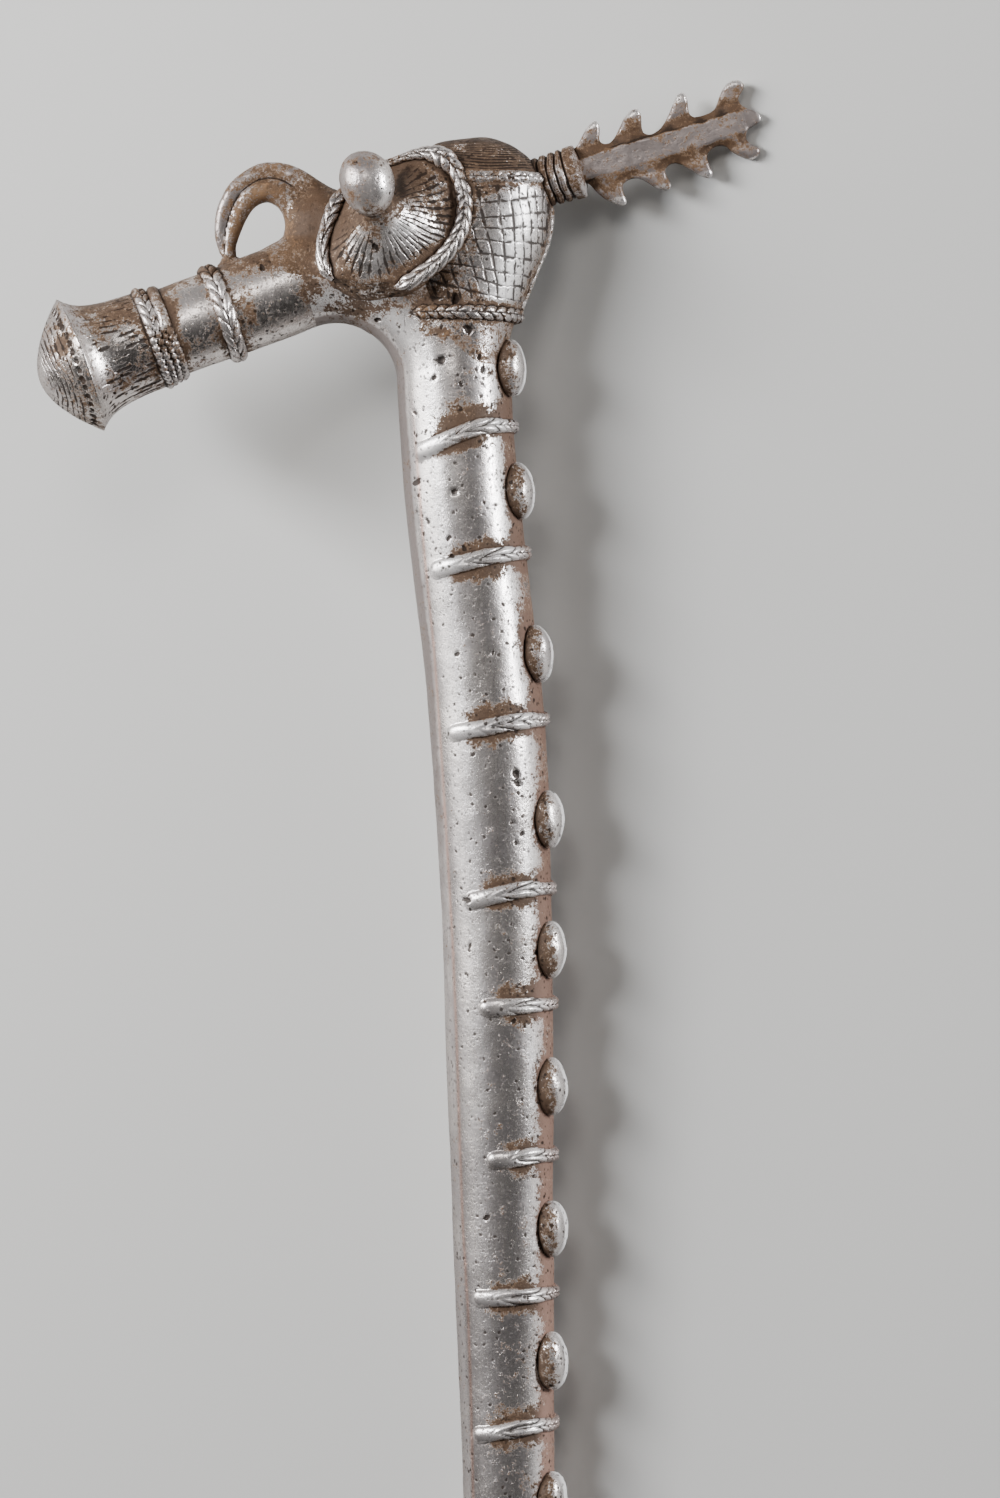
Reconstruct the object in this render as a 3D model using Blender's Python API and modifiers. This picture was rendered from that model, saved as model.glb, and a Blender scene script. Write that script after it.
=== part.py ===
"""A ceremonial club, cast in one piece of white metal.

It is modelled standing: the head is up, the muzzle points along -X, the crest and the shaft's spine
along +X, and the near side is -Y. The origin of that pose is the middle of the head's base. At the end
the casting is laid down on its far side, the way it comes to rest by itself.
"""

import math

import bmesh
import bpy
from mathutils import Matrix, Vector

NAME = "ceremonial_club"
METAL_COLOUR = (0.72, 0.70, 0.67, 1.0)
METAL_ROUGHNESS = 0.34

# Shaft
SHAFT_LENGTH = 0.446
SHAFT_RADIUS = 0.0155
FOOT_RADIUS = 0.0098
FOOT_ROUNDING = 0.0012
TAPER_STARTS = 0.25
TAPER_CURVE = 1.2
SHAFT_MIDDLE = 0.0012
SHAFT_LEAN = 0.02
SWAY = 0.0048
SWAY_DOWN = 0.074
SWAY_OVER = 0.046
SHAFT_STATIONS = 15
BODY_SIDES = 20

# Bands and bosses, placed by their share of the shaft's length
BAND_SHARES = (0.070, 0.148, 0.247, 0.347, 0.416, 0.507, 0.591, 0.670, 0.752, 0.837, 0.921)
BOSS_SHARES = (0.034, 0.110, 0.208, 0.306, 0.384, 0.466, 0.552, 0.632, 0.715, 0.796, 0.881)
BAND_RADIUS = 0.0021
BAND_SINK = 0.0004
BAND_REACH = math.radians(108)
BAND_CELLS = 12
SPINE_TURN = (math.radians(15), math.radians(28))
BOSS_HALF_LENGTH = 0.0077
BOSS_HALF_WIDTH = 0.0055
BOSS_HALF_DEPTH = 0.0036
BOSS_LIFT = 0.0013

# Muzzle, from the bend out to the rim of its knob
MUZZLE_LENGTH = 0.0632
MUZZLE_RADIUS = 0.0122
MUZZLE_DROOP = math.radians(20.5)
MUZZLE_YAW = math.radians(4)
BEND_CENTRE = (-0.0338, -0.0186)
BEND_REACH = (0.0289, 0.0313)
BEND_ENDS = math.radians(3)
BEND_STATIONS = 9
# The tube starts inside the knob and has one more station before its bend, as shares of the knob's neck
MUZZLE_STATIONS = (0.6, 1.5)

# Knob, a turned end with a flared neck and a domed face
KNOB_RADIUS = 0.0188
KNOB_TIP = math.radians(4)
DOME_HEIGHT = 0.0119
DOME_POWER = 1.82
NECK_RADIUS = 0.0134
NECK_LENGTH = 0.0190
FLARE_OVER = 0.0048
FLARE_CROWDING = 1.6
KNOB_SIDES = 26
DOME_STEPS = 6
FLARE_STEPS = 5

# Ropes round the muzzle: share of the muzzle's length back from the rim, rope radius, rows side by side
MUZZLE_ROPES = ((0.361, 0.0018, 2), (0.647, 0.0019, 1))
MUZZLE_ROPE_CELLS = 16
MUZZLE_ROPE_LIFT = 0.0002
ROW_SPACING = 1.75
# A rope's free end thins over its last two stations to these shares of its radius
ROPE_ENDS = (0.45, 0.85)

# Head: a millimetre of it is one unit, so that its free forms grow and shrink with its height
HEAD_HEIGHT = 0.048
HEAD_UNIT = HEAD_HEIGHT / 48
HEAD_SIDES = 24
# Height, front, back and half width of the head's sections, in head units
HEAD_LEVELS = (
    (-20.0, -15.0, 12.9, 14.9),
    (-4.0, -15.5, 13.4, 15.1),
    (4.0, -18.0, 16.6, 15.6),
    (12.5, -19.0, 20.0, 16.2),
    (20.5, -19.0, 22.9, 16.6),
    (28.5, -17.5, 24.0, 16.4),
    (35.5, -15.0, 23.2, 15.2),
    (40.2, -12.0, 20.0, 13.2),
    (43.5, -9.4, 17.0, 10.6),
    (45.9, -8.4, 13.2, 7.6),
    (47.2, -5.6, 10.0, 4.6),
    (48.0, 2.0, 7.0, 1.5),
)
HEAD_ROPE_RADIUS = 1.9
HEAD_ROPE_SINK = 0.6
BASE_ROPE = (0.0, math.radians(160), 20)
BROW_ROPE = (37.0, math.radians(103), 12)
BACK_RIDGE = (30.0, -2.0, 0.9)

# Turret of each eye, in head units, for the near side: the far side mirrors it
TURRET_CENTRE = (-16.8, -15.0, 23.4)
TURRET_RADIUS = 18.6
TURRET_LEAN = (-0.10, -0.96, 0.24)
TURRET_DEPTH = 15.0
TURRET_TOP = (-21.9, -25.3, 25.9)
TURRET_TOP_RADIUS = 4.6
TURRET_SIDES = 28
TURRET_ROPE_RADIUS = 2.1
TURRET_ROPE_CELLS = 24
EYE_CENTRE = (-25.2, -29.6, 33.2)
EYE_RADIUS = 7.15
EYE_STRETCH = 1.14
EYE_NECK_RADIUS = 3.4
# Waisted neck under the eyeball: place from the cone's top towards the eye's centre, and share of its radius
EYE_NECK = ((-0.3, 1.3), (0.0, 1.0), (0.5, 1.4))

# Horn: each strand is a list of (x, z, radius) from the forehead round to the tip, in head units
OUTER_STRAND = (
    (-30.5, 23.8, 6.5),
    (-35.9, 29.2, 5.4),
    (-42.7, 34.0, 4.4),
    (-49.4, 37.6, 3.6),
    (-56.2, 37.4, 3.1),
    (-61.6, 33.2, 2.6),
    (-64.5, 27.3, 2.3),
    (-65.3, 21.9, 1.9),
    (-64.9, 16.7, 1.1),
)
INNER_STRAND = (
    (-42.7, 21.6, 4.3),
    (-44.8, 27.5, 3.5),
    (-48.1, 31.3, 3.3),
    (-52.7, 33.6, 3.2),
    (-57.0, 31.7, 3.0),
    (-59.7, 28.2, 2.7),
    (-61.6, 24.1, 2.4),
    (-62.9, 19.7, 2.1),
    (-63.5, 13.0, 1.8),
)
FOREHEAD_CENTRE = (-35.9, 0.0, 24.4)
FOREHEAD_RADII = (11.5, 9.2, 9.8)

# Crest: a wrapped neck and a flat toothed blade, in head units along its own line
CREST_ROOT = (18.6, 35.3)
CREST_RISE = math.radians(16.6)
WRAP_LENGTH = 13.5
WRAP_RADII = (6.5, 7.1)
WRAP_TURNS = 6
WRAP_GROOVE = 0.7
WRAP_SLANT = 0.22
WRAP_SIDES = 14
BLADE_THICKNESS = 2.4
STEM_RADIUS = 2.7
STEM_LENGTH = 57.0
# The stem thins from its root over its middle to its end: place between them, and share of its radius
STEM_TAPER = ((0.0, 1.0), (0.6, 0.9), (1.0, 0.6))
BLADE_SINK = 4.0
# Teeth of the blade, as (place along the crest, distance from its line) of each tip, and of the dips between
UPPER_TIPS = ((20.2, 11.7), (31.3, 11.9), (44.7, 12.4), (60.6, 11.2))
UPPER_DIPS = ((13.4, 6.3), (23.7, 5.4), (36.0, 4.2), (50.3, 4.8), (61.7, 3.4))
END_TIP = (64.3, -0.4)
LOWER_TIPS = ((60.8, -9.0), (46.1, -11.6), (34.4, -11.9), (21.6, -12.5))
LOWER_DIPS = ((59.2, -2.9), (50.4, -4.2), (36.8, -5.2), (24.4, -6.0), (13.8, -5.4))
TOOTH_STEPS = 3
TOOTH_TIP_WIDTH = 2.4
TOOTH_TIP_ROUND = 0.6
TOOTH_BACK_HOLLOW = 1.25
TOOTH_FRONT_HOLLOW = 3.2

# Small flats where the lying club touches the ground
FLAT_DEPTH = 0.0003

# Mesh: gap that is welded shut, triangles to thin to, and the edge angle that stays sharp
WELD = 1e-6
TRIANGLES = 9500
SHARP_EDGE = math.radians(40)


def mix(start, end, share):
    return start + (end - start) * share


def head_point(x, y, z):
    return Vector((x, y, z)) * HEAD_UNIT


def mirrored(point, side):
    """The point as it is for the near side (1), or its mirror on the far side (-1)."""
    return Vector((point[0], point[1] * side, point[2]))


def clear_scene():
    for item in list(bpy.data.objects):
        bpy.data.objects.remove(item, do_unlink=True)


def collection(name):
    made = bpy.data.collections.new(name)
    bpy.context.scene.collection.children.link(made)
    return made


def mesh_object(name, mesh, home):
    made = bpy.data.objects.new(name, mesh)
    home.objects.link(made)
    return made


def face_out(mesh):
    shape = bmesh.new()
    shape.from_mesh(mesh)
    bmesh.ops.remove_doubles(shape, verts=shape.verts, dist=WELD)
    bmesh.ops.recalc_face_normals(shape, faces=shape.faces)
    shape.to_mesh(mesh)
    shape.free()


def evaluated_mesh(item):
    seen = item.evaluated_get(bpy.context.evaluated_depsgraph_get())
    return bpy.data.meshes.new_from_object(seen)


def solid_from(item, home):
    """Turns a curve, or an object with modifiers, into a closed mesh with welded ends."""
    name = item.name
    mesh = evaluated_mesh(item)
    face_out(mesh)
    place = item.matrix_world.copy()
    bpy.data.objects.remove(item, do_unlink=True)
    made = mesh_object(name, mesh, home)
    made.matrix_world = place
    return made


def curve_through(name, points, radii, home, sides=8, section=None, turns=0.0, closed=False):
    """A curve along points, round or with a section, twisting by that many turns along its length."""
    curve = bpy.data.curves.new(name, "CURVE")
    curve.dimensions = "3D"
    curve.use_fill_caps = not closed
    if section:
        curve.bevel_mode = "OBJECT"
        curve.bevel_object = section
    else:
        curve.bevel_depth = 1.0
        curve.bevel_resolution = (sides - 4) // 2
    spline = curve.splines.new("POLY")
    spline.points.add(len(points) - 1)
    spline.use_cyclic_u = closed
    steps = len(points) if closed else len(points) - 1
    for index, (knot, point, radius) in enumerate(zip(spline.points, points, radii)):
        knot.co = (*point, 1.0)
        knot.radius = radius
        knot.tilt = math.tau * turns * index / steps
    made = bpy.data.objects.new(name, curve)
    home.objects.link(made)
    return solid_from(made, home)


def smooth_through(points, steps):
    """Points on a Catmull-Rom curve through rows of numbers, with steps from each row to the next."""
    rows = [Vector(point) for point in points]
    rows = [2 * rows[0] - rows[1], *rows, 2 * rows[-1] - rows[-2]]
    made = []
    for before, start, end, after in zip(rows, rows[1:], rows[2:], rows[3:]):
        for step in range(steps):
            t = step / steps
            made.append(
                0.5 * (2 * start + (end - before) * t + (2 * before - 5 * start + 4 * end - after) * t**2)
                + 0.5 * (3 * start - before - 3 * end + after) * t**3
            )
    return [*made, rows[-2]]


def loft(name, rings, home):
    """A closed solid through rings with the same number of points, with a flat face at both ends."""
    shape = bmesh.new()
    rows = [[shape.verts.new(point) for point in ring] for ring in rings]
    count = len(rows[0])
    for lower, upper in zip(rows, rows[1:]):
        for index in range(count):
            after = (index + 1) % count
            shape.faces.new((lower[index], lower[after], upper[after], upper[index]))
    shape.faces.new(rows[0])
    shape.faces.new(rows[-1])
    mesh = bpy.data.meshes.new(name)
    shape.to_mesh(mesh)
    shape.free()
    face_out(mesh)
    return mesh_object(name, mesh, home)


def ring(centre, across, along, radius, count):
    return [
        centre + radius * (math.cos(turn) * across + math.sin(turn) * along)
        for turn in (math.tau * index / count for index in range(count))
    ]


def ellipsoid(name, centre, radii, home, turn=None, segments=12, rings=8):
    shape = bmesh.new()
    bmesh.ops.create_uvsphere(shape, u_segments=segments, v_segments=rings, radius=1.0)
    place = Matrix.Translation(centre) @ (turn or Matrix.Identity(4)) @ Matrix.Diagonal((*radii, 1.0))
    bmesh.ops.transform(shape, matrix=place, verts=shape.verts)
    mesh = bpy.data.meshes.new(name)
    shape.to_mesh(mesh)
    shape.free()
    return mesh_object(name, mesh, home)


def turned(name, profile, sides, home):
    """A turned solid: the profile holds (radius, height) from the top down its outer side."""
    mesh = bpy.data.meshes.new(name)
    corners = [(radius, 0.0, height) for radius, height in profile]
    mesh.from_pydata(corners, [(index, index + 1) for index in range(len(corners) - 1)], [])
    made = mesh_object(name, mesh, home)
    screw = made.modifiers.new("turn", "SCREW")
    screw.axis = "Z"
    screw.steps = sides
    screw.render_steps = sides
    screw.use_merge_vertices = True
    screw.merge_threshold = WELD
    return solid_from(made, home)


def rope_section(home):
    """The four-cornered section that, twisted along a curve, gives the strands of a rope."""
    curve = bpy.data.curves.new("rope_section", "CURVE")
    curve.dimensions = "2D"
    spline = curve.splines.new("POLY")
    spline.points.add(3)
    spline.use_cyclic_u = True
    for index, knot in enumerate(spline.points):
        turn = math.tau * index / len(spline.points)
        knot.co = (math.cos(turn), math.sin(turn), 0.0, 1.0)
    made = bpy.data.objects.new("rope_section", curve)
    home.objects.link(made)
    return made


def rope(name, place, cells, radius, section, home, closed=False):
    """A rope of strands along place(share), two stations to a cell, tapering at free ends."""
    steps = 2 * cells
    count = steps if closed else steps + 1
    shares = [index / steps for index in range(count)]
    points = [place(share) for share in shares]
    radii = [radius] * count
    if not closed:
        radii[0] = radii[-1] = ROPE_ENDS[0] * radius
        radii[1] = radii[-2] = ROPE_ENDS[1] * radius
    return curve_through(name, points, radii, home, section=section, turns=cells / 4, closed=closed)


def shaft_centre(share):
    """Centre line of the shaft: it leans and sways a little towards the spine side on its way down."""
    down = share * SHAFT_LENGTH
    sway = SWAY * math.tanh((down - SWAY_DOWN) / SWAY_OVER)
    return Vector((SHAFT_MIDDLE + SHAFT_LEAN * down + sway, 0.0, -down))


def shaft_radius(share):
    taper = max(0.0, (share - TAPER_STARTS) / (1 - TAPER_STARTS))
    return mix(SHAFT_RADIUS, FOOT_RADIUS, taper**TAPER_CURVE)


def shaft_axes(share):
    """Directions down the shaft, out to its spine and out to the near side, at a share of its length."""
    step = 0.002
    down = (shaft_centre(share + step) - shaft_centre(share - step)).normalized()
    near = Vector((0.0, -1.0, 0.0))
    return down, near.cross(down), near


def spine_turn(share):
    """How far the row of bosses is turned from the back towards the near side."""
    return mix(*SPINE_TURN, share)


def shaft_surface(share, turn, lift=0.0):
    down, back, near = shaft_axes(share)
    out = math.cos(turn) * back + math.sin(turn) * near
    return shaft_centre(share) + (shaft_radius(share) + lift) * out


def bend_point(turn, reach):
    return Vector((BEND_CENTRE[0] + reach * math.cos(turn), 0.0, BEND_CENTRE[1] + reach * math.sin(turn)))


def muzzle_axes():
    """Directions out along the muzzle, up across it and to the near side of it."""
    flat = Vector((-math.cos(MUZZLE_DROOP), 0.0, -math.sin(MUZZLE_DROOP)))
    up = Vector((-math.sin(MUZZLE_DROOP), 0.0, math.cos(MUZZLE_DROOP)))
    near = Vector((0.0, -1.0, 0.0))
    out = math.cos(MUZZLE_YAW) * flat + math.sin(MUZZLE_YAW) * near
    return out, up, up.cross(out)


def muzzle_point(distance):
    """A point on the muzzle's line, at a distance back from the rim of the knob."""
    start = bend_point(math.pi / 2 + MUZZLE_DROOP, BEND_REACH[0])
    return start + (MUZZLE_LENGTH - distance) * muzzle_axes()[0]


def body(home):
    """The tube of muzzle, bend and shaft, with the foot's rounded edge."""
    rows = [(*muzzle_point(distance * NECK_LENGTH), MUZZLE_RADIUS) for distance in MUZZLE_STATIONS]
    first_turn = math.pi / 2 + MUZZLE_DROOP
    for index in range(BEND_STATIONS):
        share = index / (BEND_STATIONS - 1)
        point = bend_point(mix(first_turn, BEND_ENDS, share), mix(*BEND_REACH, share))
        rows.append((*point, mix(MUZZLE_RADIUS, SHAFT_RADIUS, share)))
    bend_foot = -rows[-1][2] / SHAFT_LENGTH
    last = 1 - FOOT_ROUNDING / SHAFT_LENGTH
    for index in range(1, SHAFT_STATIONS + 1):
        share = mix(bend_foot, last, index / SHAFT_STATIONS)
        rows.append((*shaft_centre(share), shaft_radius(share)))
    rows.append((*shaft_centre(1.0), FOOT_RADIUS - FOOT_ROUNDING))
    points = [row[:3] for row in rows]
    return curve_through("body", points, [row[3] for row in rows], home, sides=BODY_SIDES)


def knob(home):
    """The turned knob on the muzzle's end, its face tipped a little to the near side."""
    profile = []
    for index in range(DOME_STEPS + 1):
        radius = KNOB_RADIUS * index / DOME_STEPS
        profile.append((radius, DOME_HEIGHT * (1 - (radius / KNOB_RADIUS) ** DOME_POWER)))
    for index in range(1, FLARE_STEPS + 1):
        back = NECK_LENGTH * (index / FLARE_STEPS) ** FLARE_CROWDING
        flare = math.exp(-back / FLARE_OVER)
        profile.append((mix(NECK_RADIUS, KNOB_RADIUS, flare), -back))
    profile.append((0.0, -NECK_LENGTH))
    made = turned("knob", profile, KNOB_SIDES, home)
    out, up, near = muzzle_axes()
    out = (math.cos(KNOB_TIP) * out + math.sin(KNOB_TIP) * near).normalized()
    turn = Matrix((up, out.cross(up), out)).transposed().to_4x4()
    made.data.transform(Matrix.Translation(muzzle_point(0.0)) @ turn)
    return made


def muzzle_ropes(section, home):
    """The ropes round the muzzle: a broad one of two rows behind the knob's neck, and a single one."""
    out, up, near = muzzle_axes()
    made = []
    for share, radius, rows in MUZZLE_ROPES:
        for row in range(rows):
            distance = share * MUZZLE_LENGTH + (row - (rows - 1) / 2) * ROW_SPACING * radius
            centre = muzzle_point(distance)
            reach = MUZZLE_RADIUS + MUZZLE_ROPE_LIFT

            def place(turned, centre=centre, reach=reach):
                turn = math.tau * turned
                return centre + reach * (math.cos(turn) * up + math.sin(turn) * near)

            name = f"muzzle_rope_{len(made)}"
            made.append(rope(name, place, MUZZLE_ROPE_CELLS, radius, section, home, closed=True))
    return made


def head_section(height):
    """Front, back and half width of the head at a height, read between its levels, in head units."""
    for low, high in zip(HEAD_LEVELS, HEAD_LEVELS[1:]):
        if height <= high[0]:
            break
    share = (height - low[0]) / (high[0] - low[0])
    return [mix(start, end, share) for start, end in zip(low[1:], high[1:])]


def head_surface(height, turn, lift=0.0):
    """A point on the head: turn 0 is the back, a quarter turn is the near side."""
    front, back, wide = head_section(height)
    middle = (front + back) / 2
    deep = (back - front) / 2 + lift
    return head_point(middle + deep * math.cos(turn), -(wide + lift) * math.sin(turn), height)


def head(home):
    rings = [
        [head_surface(level[0], math.tau * index / HEAD_SIDES) for index in range(HEAD_SIDES)]
        for level in HEAD_LEVELS
    ]
    return loft("head", rings, home)


def head_ropes(section, home):
    """The rope at the head's base, the one at its brow and the thin ridge down its back."""
    made = []
    for name, (height, reach, cells) in (("base_rope", BASE_ROPE), ("brow_rope", BROW_ROPE)):

        def place(share, height=height, reach=reach):
            return head_surface(height, mix(-reach, reach, share), lift=-HEAD_ROPE_SINK)

        made.append(rope(name, place, cells, HEAD_ROPE_RADIUS * HEAD_UNIT, section, home))
    top, bottom, radius = BACK_RIDGE
    points = [head_surface(mix(top, bottom, index / 6), 0.0) for index in range(7)]
    made.append(curve_through("back_ridge", points, [radius * HEAD_UNIT] * len(points), home, sides=6))
    return made


def turret(side, section, home):
    """One eye: a drum and slanted cone with a rope round its edge, and the eyeball on its top."""
    centre = mirrored(head_point(*TURRET_CENTRE), side)
    lean = mirrored(Vector(TURRET_LEAN), side).normalized()
    top = mirrored(head_point(*TURRET_TOP), side)
    eye = mirrored(head_point(*EYE_CENTRE), side)
    across = lean.cross(Vector((0.0, 0.0, 1.0))).normalized()
    along = across.cross(lean)
    radius = TURRET_RADIUS * HEAD_UNIT
    rings = [
        ring(centre - lean * TURRET_DEPTH * HEAD_UNIT, across, along, radius, TURRET_SIDES),
        ring(centre, across, along, radius, TURRET_SIDES),
        ring(top, across, along, TURRET_TOP_RADIUS * HEAD_UNIT, TURRET_SIDES),
    ]
    label = "near" if side == 1 else "far"
    made = [loft(f"turret_{label}", rings, home)]

    def place(share):
        turn = math.tau * share
        return centre + radius * (math.cos(turn) * across + math.sin(turn) * along)

    thick = TURRET_ROPE_RADIUS * HEAD_UNIT
    name = f"turret_rope_{label}"
    made.append(rope(name, place, TURRET_ROPE_CELLS, thick, section, home, closed=True))
    size = EYE_RADIUS * HEAD_UNIT
    made.append(ellipsoid(f"eye_{label}", eye, (size, size, EYE_STRETCH * size), home, segments=16, rings=10))
    neck = [mix(top, eye, share) for share, _ in EYE_NECK]
    wide = [EYE_NECK_RADIUS * HEAD_UNIT * share for _, share in EYE_NECK]
    made.append(curve_through(f"eye_neck_{label}", neck, wide, home, sides=12))
    return made


def horn(home):
    """The looped horn of two strands, from the forehead over to the muzzle, and the forehead under it."""
    made = []
    for name, strand in (("outer_strand", OUTER_STRAND), ("inner_strand", INNER_STRAND)):
        rows = smooth_through(strand, 2)
        points = [head_point(row[0], 0.0, row[1]) for row in rows]
        radii = [row[2] * HEAD_UNIT for row in rows]
        made.append(curve_through(name, points, radii, home, sides=10))
    radii = [size * HEAD_UNIT for size in FOREHEAD_RADII]
    made.append(ellipsoid("forehead", head_point(*FOREHEAD_CENTRE), radii, home, segments=16, rings=10))
    return made


def crest_place():
    """Matrix from the crest's own line (x along it, z across it) to the head."""
    root = head_point(CREST_ROOT[0], 0.0, CREST_ROOT[1])
    return Matrix.Translation(root) @ Matrix.Rotation(-CREST_RISE, 4, "Y") @ Matrix.Scale(HEAD_UNIT, 4)


def tooth_side(dip, tip, hollow):
    """Points on the hollow flank from a dip to a tip, without its ends."""
    shares = [index / (TOOTH_STEPS + 1) for index in range(1, TOOTH_STEPS + 1)]
    return [
        Vector((mix(dip.x, tip.x, 1 - (1 - share) ** hollow), mix(dip.y, tip.y, share**hollow)))
        for share in shares
    ]


def blade_outline():
    """The blade's edge: along the upper teeth, round the end tooth and back along the lower ones."""
    tips = [Vector(tip) for tip in (*UPPER_TIPS, END_TIP, *LOWER_TIPS)]
    dips = [Vector(dip) for dip in (*UPPER_DIPS, *LOWER_DIPS)]
    outline = []
    for start, tip, end in zip(dips, tips, dips[1:]):
        along = (end - start).normalized()
        out = Vector((-along.y, along.x))
        first = tip - along * TOOTH_TIP_WIDTH / 2 - out * TOOTH_TIP_ROUND
        last = tip + along * TOOTH_TIP_WIDTH / 2 - out * TOOTH_TIP_ROUND
        hollows = [TOOTH_BACK_HOLLOW, TOOTH_FRONT_HOLLOW]
        if along.x < 0:
            hollows.reverse()
        outline += [start, *tooth_side(start, first, hollows[0]), first, tip, last]
        outline += reversed(tooth_side(end, last, hollows[1]))
    root = WRAP_LENGTH - BLADE_SINK
    return [*outline, dips[-1], Vector((root, dips[-1].y)), Vector((root, -dips[-1].y))]


def crest(home):
    """The wrapped neck behind the head, and the flat blade with its teeth and raised stem."""
    place = crest_place()
    curve = bpy.data.curves.new("blade", "CURVE")
    curve.dimensions = "2D"
    curve.fill_mode = "BOTH"
    curve.extrude = BLADE_THICKNESS / 2
    spline = curve.splines.new("POLY")
    corners = blade_outline()
    spline.points.add(len(corners) - 1)
    spline.use_cyclic_u = True
    for knot, corner in zip(spline.points, corners):
        knot.co = (corner.x, corner.y, 0.0, 1.0)
    flat = bpy.data.objects.new("blade", curve)
    home.objects.link(flat)
    blade = solid_from(flat, home)
    blade.data.transform(place @ Matrix.Rotation(math.pi / 2, 4, "X"))

    stem_root = WRAP_LENGTH - BLADE_SINK
    points = [place @ Vector((mix(stem_root, STEM_LENGTH, at), 0.0, 0.0)) for at, _ in STEM_TAPER]
    radii = [STEM_RADIUS * HEAD_UNIT * share for _, share in STEM_TAPER]
    stem = curve_through("stem", points, radii, home, sides=10)

    profile = [(0.0, WRAP_LENGTH)]
    for index in range(2 * WRAP_TURNS + 1):
        share = index / (2 * WRAP_TURNS)
        groove = WRAP_GROOVE if index % 2 == 0 else 0.0
        profile.append((mix(WRAP_RADII[1], WRAP_RADII[0], share) - groove, WRAP_LENGTH * (1 - share)))
    profile.append((0.0, 0.0))
    wrap = turned("crest_wrap", profile, WRAP_SIDES, home)
    slant = Matrix.Identity(4)
    slant[2][0] = WRAP_SLANT
    wrap.data.transform(place @ Matrix.Rotation(math.pi / 2, 4, "Y") @ slant)
    return [blade, stem, wrap]


def bands(section, home):
    """The part rings round the shaft, open at the front."""
    made = []
    for number, at in enumerate(BAND_SHARES):

        def place(share, at=at):
            turn = spine_turn(at) + mix(-BAND_REACH, BAND_REACH, share)
            return shaft_surface(at, turn, -BAND_SINK)

        made.append(rope(f"band_{number}", place, BAND_CELLS, BAND_RADIUS, section, home))
    return made


def bosses(home):
    """The row of domed bosses along the spine, a little undercut where they meet the shaft."""
    made = []
    radii = (BOSS_HALF_DEPTH, BOSS_HALF_WIDTH, BOSS_HALF_LENGTH)
    for number, at in enumerate(BOSS_SHARES):
        down, back, near = shaft_axes(at)
        turn = spine_turn(at)
        out = math.cos(turn) * back + math.sin(turn) * near
        facing = Matrix((out, down.cross(out), down)).transposed().to_4x4()
        centre = shaft_surface(at, turn, BOSS_LIFT)
        made.append(ellipsoid(f"boss_{number}", centre, radii, home, facing, segments=10, rings=8))
    return made


def joined(name, first, others, home):
    """One closed casting made of all the pieces."""
    group = bpy.data.collections.new("joined_pieces")
    for piece in others:
        group.objects.link(piece)
    union = first.modifiers.new("cast as one", "BOOLEAN")
    union.operation = "UNION"
    union.solver = "EXACT"
    union.operand_type = "COLLECTION"
    union.collection = group
    mesh = evaluated_mesh(first)
    for piece in [first, *others]:
        bpy.data.objects.remove(piece, do_unlink=True)
    bpy.data.collections.remove(group)
    drop_bubbles(mesh)
    return mesh_object(name, mesh, home)


def drop_bubbles(mesh):
    """Keeps the casting's own skin, without the pin-prick bubbles left inside where its pieces cross."""
    shape = bmesh.new()
    shape.from_mesh(mesh)
    bmesh.ops.remove_doubles(shape, verts=shape.verts, dist=WELD)
    left = set(shape.verts)
    skins = []
    while left:
        skin = set()
        front = [left.pop()]
        while front:
            corner = front.pop()
            skin.add(corner)
            reached = {edge.other_vert(corner) for edge in corner.link_edges} & left
            left -= reached
            front += reached
        skins.append(skin)
    skins.sort(key=len)
    bmesh.ops.delete(shape, geom=[corner for skin in skins[:-1] for corner in skin], context="VERTS")
    bmesh.ops.triangulate(shape, faces=shape.faces)
    shape.to_mesh(mesh)
    shape.free()


def thinned(casting):
    """Thins the triangles that the joins left, most of all where the surface is nearly flat."""
    thin = casting.modifiers.new("thin", "DECIMATE")
    thin.ratio = min(1.0, TRIANGLES / len(casting.data.polygons))
    mesh = evaluated_mesh(casting)
    casting.modifiers.remove(thin)
    casting.data = mesh


def centre_of_mass(shape):
    """Centre of mass of a closed triangulated shape."""
    total = 0.0
    moment = Vector((0.0, 0.0, 0.0))
    for face in shape.faces:
        first, second, third = (corner.co for corner in face.verts)
        share = first.dot(second.cross(third))
        total += share
        moment += share * (first + second + third) / 4
    return moment / total


def over_triangle(point, corners, normal):
    """Whether the point, dropped along the normal, lands inside the triangle."""
    first, second, third = corners
    edges = ((first, second), (second, third), (third, first))
    return all(normal.dot((end - start).cross(point - start)) >= 0 for start, end in edges)


def resting_normal(mesh):
    """The way down when the club lies on its far side: its centre of mass is over that hull face."""
    shape = bmesh.new()
    shape.from_mesh(mesh)
    bmesh.ops.triangulate(shape, faces=shape.faces)
    middle = centre_of_mass(shape)
    points = [corner.co.copy() for corner in shape.verts]
    shape.clear()
    for point in points:
        shape.verts.new(point)
    bmesh.ops.convex_hull(shape, input=shape.verts)
    found = []
    for face in shape.faces:
        corners = [corner.co for corner in face.verts]
        normal = face.normal if face.normal.dot(corners[0] - middle) > 0 else -face.normal
        if (corners[1] - corners[0]).cross(corners[2] - corners[0]).dot(normal) < 0:
            corners.reverse()
        if normal.y > 0.5 and over_triangle(middle, corners, normal):
            found.append((normal.dot(corners[0] - middle), normal.copy()))
    shape.free()
    return min(found, key=lambda item: item[0])[1]


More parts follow.
